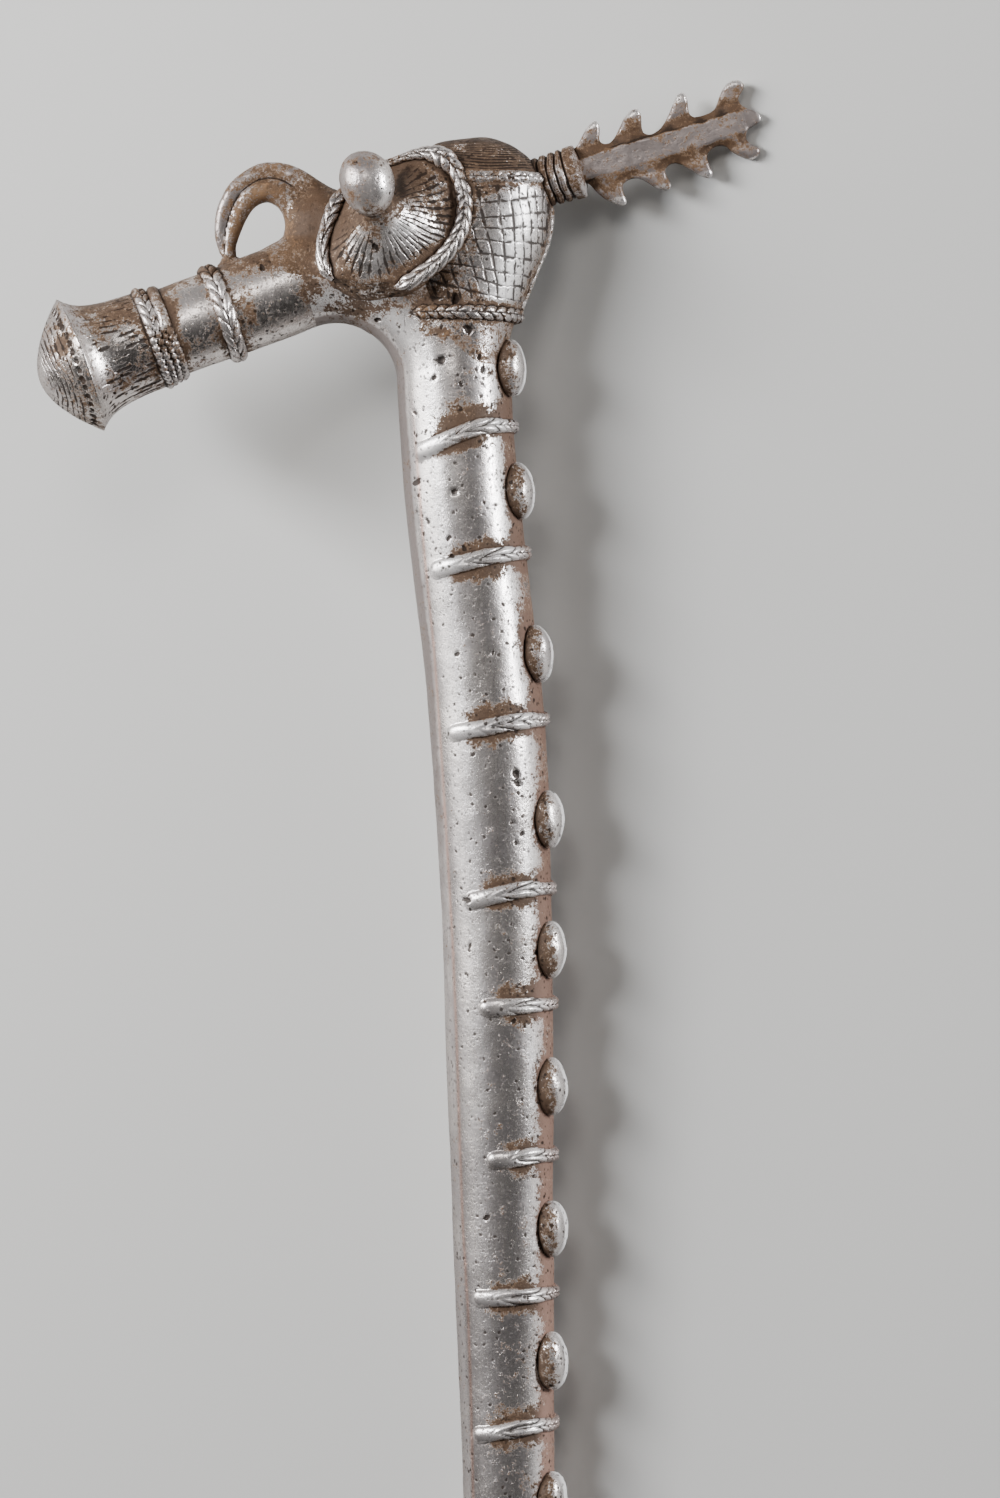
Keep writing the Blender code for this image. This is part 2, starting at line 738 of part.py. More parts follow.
def bounds(mesh):
    low = Vector([min(corner.co[axis] for corner in mesh.vertices) for axis in range(3)])
    high = Vector([max(corner.co[axis] for corner in mesh.vertices) for axis in range(3)])
    return low, high


def lay_down(mesh):
    """Lays the casting on its far side, head towards +Y, over the middle of its ground, with small flats."""
    far_side_down = Matrix.Rotation(-math.pi / 2, 4, "X")
    down = far_side_down.to_3x3() @ resting_normal(mesh)
    settle = down.rotation_difference(Vector((0.0, 0.0, -1.0))).to_matrix().to_4x4()
    mesh.transform(settle @ far_side_down)
    low, high = bounds(mesh)
    middle = (low + high) / 2
    mesh.transform(Matrix.Translation((-middle.x, -middle.y, -low.z - FLAT_DEPTH)))
    shape = bmesh.new()
    shape.from_mesh(mesh)
    everything = [*shape.verts, *shape.edges, *shape.faces]
    ground = Vector((0.0, 0.0, 0.0))
    bmesh.ops.bisect_plane(
        shape, geom=everything, dist=WELD, plane_co=ground, plane_no=(0.0, 0.0, 1.0), clear_inner=True
    )
    rims = [edge for edge in shape.edges if edge.is_boundary]
    bmesh.ops.holes_fill(shape, edges=rims, sides=0)
    bmesh.ops.triangulate(shape, faces=shape.faces)
    shape.to_mesh(mesh)
    shape.free()


def metal():
    made = bpy.data.materials.new("cast_white_metal")
    made.use_nodes = True
    surface = made.node_tree.nodes["Principled BSDF"]
    surface.inputs["Base Color"].default_value = METAL_COLOUR
    surface.inputs["Roughness"].default_value = METAL_ROUGHNESS
    surface.inputs["Metallic"].default_value = 1.0
    made.diffuse_color = METAL_COLOUR
    return made


def main():
    clear_scene()
    club = collection(NAME)
    pieces = collection("pieces")
    section = rope_section(pieces)
    others = [knob(pieces), head(pieces), *horn(pieces), *crest(pieces), *bosses(pieces)]
    others += muzzle_ropes(section, pieces) + head_ropes(section, pieces) + bands(section, pieces)
    for side in (1, -1):
        others += turret(side, section, pieces)
    casting = joined(NAME, body(pieces), others, club)
    thinned(casting)
    lay_down(casting.data)
    bpy.data.objects.remove(section, do_unlink=True)
    casting.data.materials.clear()
    casting.data.materials.append(metal())
    casting.data.shade_smooth()
    casting.data.set_sharp_from_angle(angle=SHARP_EDGE)


main()
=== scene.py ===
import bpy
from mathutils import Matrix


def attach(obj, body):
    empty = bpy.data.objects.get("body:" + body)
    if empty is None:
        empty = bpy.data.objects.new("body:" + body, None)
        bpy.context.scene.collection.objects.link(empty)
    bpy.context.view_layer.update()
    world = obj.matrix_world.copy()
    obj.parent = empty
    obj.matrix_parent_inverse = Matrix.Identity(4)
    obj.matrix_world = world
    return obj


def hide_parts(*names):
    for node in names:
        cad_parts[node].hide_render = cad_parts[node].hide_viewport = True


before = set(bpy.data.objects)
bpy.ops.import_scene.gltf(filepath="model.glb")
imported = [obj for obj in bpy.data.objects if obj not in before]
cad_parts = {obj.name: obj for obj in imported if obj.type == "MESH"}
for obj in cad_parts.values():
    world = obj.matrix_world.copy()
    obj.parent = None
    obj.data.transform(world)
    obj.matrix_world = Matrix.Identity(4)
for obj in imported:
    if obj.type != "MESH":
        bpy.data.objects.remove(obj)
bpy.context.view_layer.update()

import copy
import math

import bpy
import numpy as np
from mathutils import Euler, Matrix, Vector
from mathutils.bvhtree import BVHTree

# The club is made standing, in millimetres: x from muzzle to crest, y away from the viewer, z up, and the
# middle of the head's base at the origin. These two values then lay it down where the solid lies.
LIE_TURN = (1.3905, 18.9178, 0.2317)
HEAD_BASE_LIES_AT = (0.0158448, 0.1912471, 0.0258245)
MILLIMETRE = 0.001

# The photo's scale and the pixel that shows the head's base, for marks that are placed by the photo
PHOTO_PIXEL = 0.27
PHOTO_ORIGIN = (463.0, 316.0)
PHOTO_MIDDLE = (500.0, 749.0)
CAMERA_DISTANCE = 1517.0
CAMERA_LENS = 135.0
CAMERA_SENSOR = 36.0
VIEW_END = 50.0

# Shaft
SHAFT_LENGTH = 446.0
SHAFT_RADIUS = 15.5
FOOT_RADIUS = 9.8
FOOT_ROUNDING = 1.2
TAPER_STARTS = 0.25
TAPER_CURVE = 1.2
SHAFT_MIDDLE = 1.2
SHAFT_LEAN = 0.02
SWAY = 4.8
SWAY_DOWN = 74.0
SWAY_OVER = 46.0

# Bands: share of the shaft's length, angle from the back where the near end lies, and the drop of that end
BANDS = (
    (0.0695, 139, 5.5),
    (0.148, 133, 2.0),
    (0.247, 133, 2.0),
    (0.347, 124, 2.6),
    (0.4165, 111, 0.4),
    (0.5075, 107, 0.6),
    (0.591, 130, 0.4),
    (0.670, 137, 2.2),
    (0.752, 118, 1.0),
    (0.837, 128, 1.5),
    (0.921, 122, 0.8),
)
BAND_HALF = 2.1
BAND_PROUD = 1.75
BAND_PITCH = 3.1
BAND_REACH = 16.0
# The bands that hide the cuts between the body's three pieces
CUT_BANDS = (6, 1)
SPINE_TURN = (15.0, 28.0)
BOSS_SHARES = (0.034, 0.110, 0.208, 0.306, 0.384, 0.466, 0.552, 0.632, 0.715, 0.796, 0.881)
BOSS_SIZE = (3.6, 5.5, 7.7)
BOSS_ROOT = 3.2
BOSS_LIFT = 1.1
BOSS_TURN = 4.0

# Muzzle and knob
MUZZLE_LENGTH = 63.2
MUZZLE_RADIUS = 12.2
MUZZLE_DROOP = math.radians(20.5)
MUZZLE_YAW = math.radians(4)
BEND_CENTRE = (-33.8, -18.6)
BEND_REACH = (31.3, 28.9)
BEND_START = math.radians(3)
KNOB_RADIUS = 18.8
KNOB_TIP = math.radians(4)
DOME_HEIGHT = 11.9
DOME_POWER = 1.82
NECK_RADIUS = 13.4
NECK_LENGTH = 19.0
FLARE_OVER = 4.8
BROAD_ROPE = (22.8, 3.3, 1.6, 3.4)
SINGLE_ROPE = (40.9, 2.1, 2.0, 4.3)
DOT_RING = 0.885
DOTS = 40
DOT_RADII = (1.0, 0.65)
KNOB_LINE_GAP = 1.35
NECK_DASHES = 50
# The dome's lines lie between these shares of its radius, and fade in and out over them
DOME_LINES_FROM = (0.26, 0.42)
DOME_LINES_TO = (0.84, 0.78)
# Dent in the dome, and the cut under the head's front, in photo pixels: column, row, half width, half height
KNOB_DENT = (62, 344, 6, 9)
FRONT_CUT = (405, 322, 0.9, 17)

# Head sections: height, front, back and half width
HEAD_LEVELS = (
    (-20.0, -15.0, 12.4, 14.4),
    (-10.0, -15.2, 12.6, 14.6),
    (-4.0, -15.6, 13.2, 15.0),
    (4.0, -18.0, 16.6, 15.6),
    (12.5, -19.0, 20.0, 16.2),
    (20.5, -19.0, 22.9, 16.6),
    (28.5, -17.5, 24.0, 16.4),
    (35.5, -15.0, 23.2, 15.2),
    (40.2, -12.0, 20.0, 13.2),
    (43.5, -9.4, 17.0, 10.6),
    (45.9, -8.4, 13.2, 7.6),
    (47.2, -5.6, 10.0, 4.6),
    (48.0, 2.0, 7.0, 1.5),
    (48.15, 4.0, 5.0, 0.3),
)
BASE_ROPE_HEIGHT = 0.0
BASE_ROPE_REACH = math.radians(133)
BASE_ROPE_RADIUS = 2.0
BROW_ROPE = (36.4, 103.0, 1.45, 1.1, 2.6)
HEAD_RADIUS = 17.5
HEAD_INSIDE = (2.0, 0.0, 20.0)
BACK_RIDGE = (30.0, -2.0)
# Heights and turns over which the crown's and the side panel's lines fade in
CROWN_FROM = (37.8, 38.8)
CROWN_PITCH = 1.15
PANEL_BOTTOM = (2.6, 4.0)
PANEL_TOP = (34.6, 33.2)
PANEL_FRONT = (0.14, 0.24)
CROWN_LEVEL = 36.0
# The panel's upright lines lean from this row, most in front, and its level ones slope from this column
PANEL_LEAN = 0.33
PANEL_LEAN_ROW = 250
PANEL_LEAN_COLUMNS = (515, 465)
PANEL_SLOPE = 0.0059
PANEL_SLOPES = (-0.12, 0.26)
PANEL_LEVEL_ROW = 231
PANEL_HUB_COLUMN = 510
# Lines of the side panel, in photo columns and rows
PANEL_COLUMNS = (
    396, 408, 420, 432, 444, 456, 468, 480, 492, 503, 513, 522, 530, 537, 543, 548,
)
PANEL_ROWS = (
    168, 184, 200, 216, 228, 242, 258, 274, 286, 300, 316,
)

# Turret of the near eye: the far one mirrors it. The rim is a radius at each angle in the rim's own plane
TURRET_CENTRE = (-16.8, -15.0, 23.4)
TURRET_LEAN = (-0.10, -0.96, 0.24)
TURRET_DEPTH = 15.0
TURRET_TOP = (-21.9, -25.3, 25.9)
TURRET_TOP_RADIUS = 4.6
TURRET_RIM = (
    (-92, 18.0), (-65, 15.4), (-44, 15.1), (-27, 15.5), (-8, 16.5), (7, 17.4), (21, 18.5), (35, 19.8),
    (47, 21.0), (59, 21.6), (69, 21.2), (81, 19.6), (93, 18.0), (105, 17.2), (148, 17.7), (174, 18.7),
    (188, 20.2), (199, 21.7), (209, 23.0), (219, 23.8), (240, 21.6),
)
TURRET_RAYS = 42
CONE_ROWS = 42
CONE_CURVE = 1.35
# Angles between which the rays are fainter
PLAIN_FROM = (60, 85)
PLAIN_TO = (215, 190)
# The rim is pulled in by this much where the ring rope leaves it open, between these angles
OPEN_RIM = 2.6
OPEN_FROM = (214, 232)
OPEN_TO = (275, 258)
RING_ROPE_ENDS = (-93.0, 222.0)
RING_ROPE_RADIUS = 2.1
RING_ROPE_RADIUS_BEHIND = 1.1
EYE_CENTRE = (-25.2, -29.6, 32.8)
EYE_RADII = (7.3, 7.3, 8.7)
EYE_LEAN = 0.9
EYE_NECK = ((0.1, 4.7), (0.3, 4.9), (0.6, 5.4))

# Horn strands from the forehead round to the tip: x, z, radius
OUTER_STRAND = (
    (-30.5, 23.8, 6.5), (-36.2, 30.2, 4.7), (-42.6, 35.3, 3.4), (-49.3, 38.7, 2.7), (-56.1, 38.2, 2.4),
    (-61.8, 33.6, 2.2), (-64.8, 27.4, 2.1), (-65.6, 21.9, 1.75), (-65.1, 16.7, 1.1),
)
INNER_STRAND = (
    (-42.7, 21.6, 4.6), (-44.6, 27.9, 4.4), (-47.3, 32.2, 4.2), (-52.0, 34.3, 3.8), (-57.0, 32.6, 3.2),
    (-59.9, 28.6, 2.7), (-61.8, 24.1, 2.3), (-62.9, 19.7, 2.1), (-63.5, 13.0, 1.8),
)
FOREHEAD_CENTRE = (-35.9, 0.0, 24.4)
FOREHEAD_RADII = (12.4, 9.4, 9.8)

# The part of the bend and muzzle that the horn's root is cast over: its first share of the bend, and its end
HORN_ROOT_FROM = 0.55
HORN_ROOT_TO = 26.0
HORN_VOXEL = 0.45
# Where the strands part, and where the loop starts, from 0 to 1
STRANDS_PART = (-43.0, -47.0)
LOOP_STARTS = (-40.0, -48.0)

# Crest, along its own line
CREST_ROOT = (18.6, 35.3)
CREST_RISE = math.radians(16.6)
WRAP_LENGTH = 13.5
WRAP_OVER = 0.6
WRAP_RADII = (6.5, 7.1)
WRAP_TURNS = 6
WRAP_GROOVE = 0.8
WRAP_COLLAR = 3.2
BLADE_HALF = 2.5
BLADE_EDGE_HALF = 1.1
BLADE_ROOT_HALF = 4.8
STEM_HALF = 2.5
BLADE_VOXEL = 0.34
# The teeth stand out past the stem from here on: beside it, and at its end
TEETH_BESIDE = (4.6, 7.2)
TEETH_AT_END = (58.5, 61.0)
TIPS_BESIDE = (9.4, 10.6)
TIPS_AT_END = (63.0, 64.6)
# The blade's toothed edge from its upper root round to its lower one, in photo pixels
BLADE_EDGE = (
    (577.5, 145.7), (580.1, 139.6), (584.4, 131.2), (589.7, 124.3), (595.1, 120.8), (598.2, 122.5),
    (600.0, 127.4), (600.0, 133.5), (599.4, 138.4), (601.2, 142.7), (605.8, 143.9), (611.2, 141.9),
    (615.8, 135.8), (620.4, 125.8), (625.0, 117.4), (630.3, 111.3), (635.7, 109.0), (639.5, 111.3),
    (641.0, 117.4), (641.3, 124.3), (642.1, 130.7), (644.9, 134.5), (651.0, 135.0), (657.1, 131.9),
    (662.5, 126.6), (667.0, 118.9), (671.6, 107.5), (675.5, 97.5), (680.1, 92.9), (684.7, 93.7),
    (687.4, 99.0), (688.5, 107.5), (689.5, 113.6), (693.1, 116.9), (699.2, 116.6), (706.8, 114.3),
    (713.0, 110.5), (716.8, 104.4), (719.9, 95.2), (723.7, 87.6), (729.0, 82.2), (735.2, 80.2),
    (741.3, 81.4), (744.3, 85.3), (742.8, 90.6), (739.3, 96.0), (739.0, 101.3), (742.1, 105.9),
    (748.2, 109.0), (754.3, 111.3), (759.2, 114.3), (761.2, 118.9), (758.9, 122.8), (753.5, 125.8),
    (748.2, 128.9), (745.9, 133.5), (745.6, 137.3), (746.9, 141.1), (752.0, 145.0), (757.4, 147.2),
    (760.1, 150.6), (758.6, 154.9), (754.3, 158.4), (749.7, 159.2), (743.6, 157.2), (737.5, 154.1),
    (731.3, 150.3), (726.0, 146.5), (719.1, 145.7), (713.0, 148.0), (708.4, 152.6), (706.8, 157.2),
    (708.1, 162.6), (710.7, 168.7), (712.5, 173.3), (711.1, 176.6), (707.6, 177.6), (702.3, 176.0),
    (695.4, 172.5), (688.5, 168.7), (682.4, 164.9), (676.2, 163.3), (670.9, 164.1), (667.0, 167.1),
    (665.5, 171.0), (667.0, 176.3), (670.1, 181.7), (671.6, 185.5), (670.1, 189.3), (666.3, 190.4),
    (660.9, 189.8), (654.8, 187.0), (648.7, 183.2), (644.1, 180.6), (638.0, 178.6), (631.8, 178.6),
    (626.5, 180.9), (623.0, 184.8), (622.7, 188.6), (623.9, 193.2), (626.0, 197.8), (627.2, 201.6),
    (626.0, 204.7), (622.7, 205.7), (616.5, 204.7), (610.4, 201.6), (603.5, 197.8), (596.6, 191.6),
    (592.0, 186.3), (588.2, 182.5),
)

# Steps of the fine skins: near and far degrees round, and how far the near side reaches behind
BODY_TURNS = (1.65, 3.6, 22)
HEAD_TURNS = (1.25, 2.6, 25)
# Steps along: wide, fine, and how near to a band or rope they are fine
SHAFT_STEPS = (0.62, 0.3, 4.0)
MUZZLE_STEPS = (0.42, 0.28, 5.0)
# Stands for a distance along a line that a part of the body isn't on
FAR_OFF = 999.0
# How far the rounding of the inner corners and the dirt in the creases reach
CORNER_REACH = 4.5
CREASE_REACH = 1.2

# Holes and larger pits of the casting, in photo pixels: column, row, radius, depth in millimetres
PITS = (
    (441, 360, 4.6, 1.3), (434, 378, 2.6, 0.6), (483, 370, 2.8, 0.7), (415, 413, 2.4, 0.5),
    (454, 492, 4.2, 1.2), (457, 654, 2.2, 0.6), (493, 653, 2.0, 0.5), (516, 774, 3.6, 1.2),
    (518, 783, 3.4, 1.1), (512, 823, 2.2, 0.6), (522, 834, 2.2, 0.6), (516, 843, 2.0, 0.5),
    (467, 900, 3.4, 1.0), (538, 952, 2.8, 0.9), (514, 1021, 2.6, 0.6), (455, 300, 4.4, 1.8),
    (468, 329, 4.4, 1.6), (378, 320, 2.8, 1.0), (449, 538, 2.2, 0.5), (428, 522, 2.0, 0.5),
    (464, 548, 2.4, 0.5), (452, 556, 2.2, 0.5), (417, 482, 3.4, 0.4), (479, 357, 2.4, 0.5),
    (461, 385, 2.2, 0.5), (508, 941, 1.8, 0.5), (487, 1218, 2.4, 0.5), (470, 946, 2.0, 0.4),
    (262, 268, 2.4, 0.6), (375, 247, 3.6, 0.7),
)

# What the finish is told about each point of the skin. Some marks also carry painted highlights, shade and
# shadow, and a painted reflection.
MARKS = ("tarnish", "groove", "tan", "rose", "dull", "line_a", "cut_a", "line_b", "cut_b", "rub", "pit")
# Small forms, which hold more dirt where they meet the others
FINE_FORMS = ("boss", "ring_rope", "base_rope", "crest", "eye")
# A painted warm reflection: a thin rose line down the front of the shaft, in photo pixels
PAINTED_WARM_REFLECTION = (
    (412, 400), (418, 473), (424, 550), (431, 620), (434, 650), (437, 690), (443, 780), (449, 880),
    (453, 950), (457, 1050), (460, 1150), (463, 1230), (468, 1310), (471, 1400), (473, 1490), (476, 1600),
    (482, 2000),
)

# Stains placed by the photo, in its pixels: column, row, half width, half height and strength of each. Some
# of the turret's and the eye's are painted light and shade.
BODY_TARNISH = (
    (322, 245, 12, 14, 0.4), (300, 240, 14, 6, 0.4), (287, 236, 9, 6, 0.4), (428, 300, 20, 14, 0.6),
    (362, 303, 22, 9, 0.4), (398, 306, 18, 8, 0.4), (335, 300, 12, 12, 0.3), (170, 325, 9, 34, 0.75),
    (160, 300, 12, 10, 0.4), (184, 352, 7, 13, 0.7), (246, 308, 9, 22, 0.55), (250, 320, 8, 12, 0.3),
    (232, 268, 30, 7, 0.55), (262, 262, 18, 7, 0.5), (284, 252, 20, 7, 0.5), (310, 284, 9, 22, 0.75),
    (316, 296, 10, 9, 0.35), (120, 318, 26, 10, 0.4), (95, 330, 12, 14, 0.35), (62, 342, 7, 9, 0.8),
    (88, 405, 12, 14, 0.35), (98, 425, 10, 8, 0.3), (345, 310, 22, 8, 0.5), (375, 312, 30, 12, 0.62),
    (430, 330, 45, 9, 0.62), (452, 332, 30, 7, 0.4), (420, 345, 22, 8, 0.35), (463, 408, 30, 9, 0.38),
    (470, 446, 26, 7, 0.5), (485, 575, 30, 7, 0.3), (445, 418, 14, 10, 0.3), (475, 400, 12, 10, 0.2),
    (432, 482, 4, 9, 0.4), (545, 960, 6, 40, 0.35), (548, 1100, 6, 50, 0.35), (546, 1240, 6, 50, 0.35),
    (540, 1120, 10, 14, 0.3), (520, 640, 6, 40, 0.2),
)
BODY_TAN = (
    (318, 240, 14, 14, 0.2), (298, 238, 14, 5, 0.2), (180, 330, 8, 14, 0.3), (250, 312, 8, 14, 0.35),
    (316, 292, 9, 8, 0.45), (182, 345, 4, 7, 0.5), (246, 300, 4, 12, 0.5), (425, 335, 22, 5, 0.6),
    (447, 334, 5, 5, 0.5), (312, 262, 7, 9, 0.3), (478, 448, 14, 4, 0.35), (350, 312, 14, 5, 0.3),
    (400, 318, 26, 8, 0.35), (538, 905, 12, 4, 0.3), (545, 1030, 8, 20, 0.3),
)
HEAD_TARNISH = (
    (495, 230, 22, 24, -0.12), (520, 200, 16, 14, -0.3), (520, 232, 12, 26, -0.36),
    (500, 262, 16, 14, -0.1), (430, 300, 30, 12, 0.35), (470, 299, 30, 7, 0.3), (440, 270, 12, 20, 0.3),
    (505, 188, 40, 5, 0.4), (462, 215, 10, 20, 0.1), (482, 232, 12, 24, -0.12), (528, 296, 12, 8, 0.25),
    (520, 182, 14, 4, -0.3), (540, 172, 8, 8, -0.15), (478, 272, 12, 12, -0.12), (536, 260, 6, 30, 0.25),
    (500, 152, 20, 5, -0.2),
)
HEAD_TAN = (
    (500, 190, 30, 5, 0.25), (480, 292, 24, 6, 0.3), (455, 312, 14, 4, 0.3), (530, 262, 6, 16, 0.25),
    (494, 276, 12, 5, 0.25),
)
# The spots round columns 402 to 408, rows 170 to 192 paint the eyeball's shadow on the cone. The negative
# ones round columns 400 to 420, rows 222 to 240 keep its lit middle bright as painted light
TURRET_TARNISH_AND_SHADE = (
    (345, 262, 16, 34, 0.3), (420, 222, 12, 8, -0.2), (436, 200, 14, 14, 0.16), (400, 240, 14, 16, -0.42),
    (418, 236, 12, 12, -0.3), (362, 258, 12, 26, -0.12), (385, 262, 14, 14, -0.1),
    (408, 180, 20, 14, 0.7), (402, 192, 12, 10, 0.6), (405, 170, 20, 8, 0.5), (455, 215, 9, 26, 0.4),
    (436, 252, 18, 13, 0.35), (342, 225, 8, 20, 0.3), (375, 247, 7, 9, 0.5), (350, 215, 14, 16, 0.2),
    (448, 232, 9, 12, 0.25),
)
TURRET_TAN = (
    (455, 200, 6, 26, 0.35), (385, 252, 8, 8, 0.2), (450, 240, 8, 12, 0.3), (350, 235, 12, 16, 0.2),
)
HORN_TARNISH = (
    (315, 218, 26, 26, 0.6), (300, 232, 18, 10, 0.35), (262, 170, 30, 6, 0.3), (222, 225, 7, 26, -0.22),
    (226, 200, 8, 14, -0.1), (268, 184, 22, 4, 0.45), (262, 205, 14, 5, -0.1), (290, 195, 4, 22, -0.15),
    (275, 205, 8, 10, 0.1), (300, 205, 8, 10, 0.35), (318, 190, 14, 6, 0.45), (250, 225, 10, 20, 0.1),
    (240, 235, 6, 20, 0.2), (325, 215, 10, 14, 0.2), (294, 186, 6, 6, 0.2),
)
HORN_TAN = (
    (308, 225, 20, 14, -0.1), (322, 212, 14, 24, -0.25), (272, 165, 26, 4, 0.2), (240, 235, 5, 20, 0.3),
    (262, 200, 14, 8, 0.15), (290, 230, 12, 10, 0.1),
)
BLADE_TARNISH = (
    (636, 128, 6, 5, 0.5), (600, 150, 8, 8, 0.3), (605, 190, 8, 6, 0.3),
    (692, 153, 10, 5, 0.5), (725, 105, 12, 5, 0.4), (655, 163, 6, 6, 0.3),
)
EYE_TARNISH = (
    (350, 162, 9, 6, 0.3), (350, 196, 10, 9, 0.3), (378, 160, 9, 7, 0.3), (368, 205, 14, 8, 0.2),
)
STAINS_AND_PAINTED_LIGHT = {
    "body": {"tarnish": BODY_TARNISH, "tan": BODY_TAN},
    "head": {"tarnish": HEAD_TARNISH, "tan": HEAD_TAN},
    "turret": {
        "tarnish": TURRET_TARNISH_AND_SHADE,
        "tan": TURRET_TAN,
        # The rub spots paint light on the cone's lit middle, and the groove spots paint the eyeball's shadow
        "rub": ((404, 232, 20, 22, 1.9), (374, 258, 12, 20, 1.3)),
        "groove": ((402, 188, 9, 18, 0.75), (410, 172, 16, 10, 0.5)),
    },
    "eye": {
        "tarnish": EYE_TARNISH,
        # The tan, rub and dull spots at the two highlight places paint the eyeball's highlights
        "tan": ((384, 184, 12, 16, -0.3),),
        "rub": ((384, 184, 9, 13, 2.2),),
        "dull": ((352, 181, 4, 5, -0.6), (384, 184, 12, 18, -1.1)),
        "pit": ((346, 197, 7, 7, 0.3), (379, 164, 7, 6, 0.32), (356, 166, 5, 6, 0.26)),
    },
    "horn": {"tarnish": HORN_TARNISH, "tan": HORN_TAN},
    "crest_wrap": {
        "tarnish": ((586, 176, 4, 24, -0.4), (560, 180, 8, 10, -0.2)),
        "tan": ((565, 165, 14, 16, 0.35),),
    },
    "crest_blade": {"tarnish": BLADE_TARNISH},
}
# The stains' edges waver by this many pixels, in waves of this size
STAIN_WAVER = 11.0
STAIN_WAVES = 3.4

# Colours of the metal. The bright silver also paints highlights, the films and the dull grey also paint
# shade, the dirt colour also paints shadow, and the rose also paints a warm reflection.
SILVER = (0.62, 0.575, 0.55, 1)
SILVER_COOL = (0.46, 0.425, 0.42, 1)
SILVER_BRIGHT_AND_HIGHLIGHT = (0.95, 0.93, 0.92, 1)
FILM_AND_SHADE = (0.155, 0.096, 0.056, 1)
FILM_DARK_AND_SHADE = (0.062, 0.034, 0.018, 1)
TAN = (0.215, 0.125, 0.066, 1)
ROSE_AND_REFLECTION = (0.60, 0.37, 0.30, 1)
DULL_AND_SHADE = (0.215, 0.185, 0.175, 1)
DIRT_AND_SHADOW = (0.014, 0.008, 0.005, 1)
EDGE_TINT = (0.55, 0.53, 0.52, 1)

# Unevenness of the finish, from broad to fine: scale, detail and roughness of the noise
CLOUDS = (32.0, 3.0, 0.55)
PATCHES = (130.0, 4.0, 0.65)
GRAINS = (620.0, 4.0, 0.7)
FINE_GRAINS = (2100.0, 2.0, 0.6)
STREAKS = (1500.0, 3.0, 0.6)
STREAK_STRETCH = (1.0, 0.06, 1.0)
CUT_WIDTH = 0.3
BUMP_HEIGHT = 0.0006

# Studio. Lights: place from the aim in millimetres, as the viewer sees it, then size, power and tint
FLOOR_SIZE = 8.0
FLOOR_COLOUR = (0.5, 0.5, 0.49, 1)
LIGHTS_AIM = (10.0, 0.0, -110.0)
COOL_LIGHT = (0.97, 0.98, 1.0)
WARM_LIGHT = (1.0, 0.96, 0.92)
LIGHTS = (
    ("left_box", (-1150, -740, 480), (0.36, 0.9), 35, COOL_LIGHT),
    ("left_side", (-1280, -330, 380), (0.8, 0.8), 17, WARM_LIGHT),
    ("right_box", (1310, -250, 400), (0.6, 0.85), 96, COOL_LIGHT),
    ("top_box", (-230, -1450, 760), (0.5, 0.4), 6.5, WARM_LIGHT),
)
ROOM_LIGHT = (1.0, 0.95, 0.9, 1)
ROOM_STRENGTH = 0.04


def mix(start, end, share):
    """From start at a share of 0 to end at 1."""
    return start + (end - start) * share


def ease(low, high, value):
    """Rises smoothly from 0 at low to 1 at high."""
    share = np.clip((value - low) / (high - low), 0.0, 1.0)
    return share * share * (3 - 2 * share)


def bump(value, middle, half):
    """1 at the middle, fading out smoothly over the half width on both sides."""
    return np.exp(-(((value - middle) / half) ** 2))


def vec(*numbers):
    return np.array(numbers, float)


def unit(vectors):
    """The same directions with a length of 1."""
    return vectors / np.linalg.norm(vectors, axis=-1, keepdims=True)


def lattice_noise(points, size, seed):
    """Smooth noise from 0 to 1, with features of that size."""
    place = points / size + seed * 17.31
    cell = np.floor(place).astype(np.int64)
    part = place - cell
    part = part * part * (3 - 2 * part)
    total = 0.0
    for corner in np.ndindex(2, 2, 2):
        at = cell + corner
        value = (at[..., 0] * 73856093) ^ (at[..., 1] * 19349663) ^ (at[..., 2] * 83492791)
        value = value ^ (seed * 2654435)
        value = ((value ^ (value >> 13)) * 1274126177) & 0x7FFFFFFF
        weight = np.prod(np.where(corner, part, 1 - part), axis=-1)
        total = total + weight * (value % 4096) / 4095.0
    return total


def wobble(points, height, size, seed):
    """Smooth noise about 0, with the height between its lowest and its highest."""
    return height * (lattice_noise(points, size, seed) - 0.5)


def stations(start, end, steps, spots):
    """Places from start to end, with fine steps near the spots and wide ones elsewhere."""
    wide, fine, reach = steps
    made = [start]
    while made[-1] < end:
        near = min((abs(made[-1] - spot) for spot in spots), default=math.inf)
        made.append(made[-1] + mix(fine, wide, float(ease(reach, reach * 1.5, near))))
    made[-1] = end
    return np.array(made)


def smooth_rows(rows, steps):
    """Rows of numbers read along a Catmull-Rom curve, with steps from each row to the next."""
    rows = np.array(rows, float)
    rows = np.vstack([2 * rows[0] - rows[1], rows, 2 * rows[-1] - rows[-2]])
    made = []
    for before, start, end, after in zip(rows, rows[1:], rows[2:], rows[3:]):
        t = (np.arange(steps) / steps)[:, None]
        made.append(
            0.5 * (2 * start + (end - before) * t + (2 * before - 5 * start + 4 * end - after) * t**2)
            + 0.5 * (3 * start - before - 3 * end + after) * t**3
        )
    return np.vstack([*made, rows[-2]])


def run(rows):
    """Length along a line of points, up to each of them."""
    return np.concatenate([[0.0], np.cumsum(np.linalg.norm(np.diff(rows, axis=0), axis=1))])


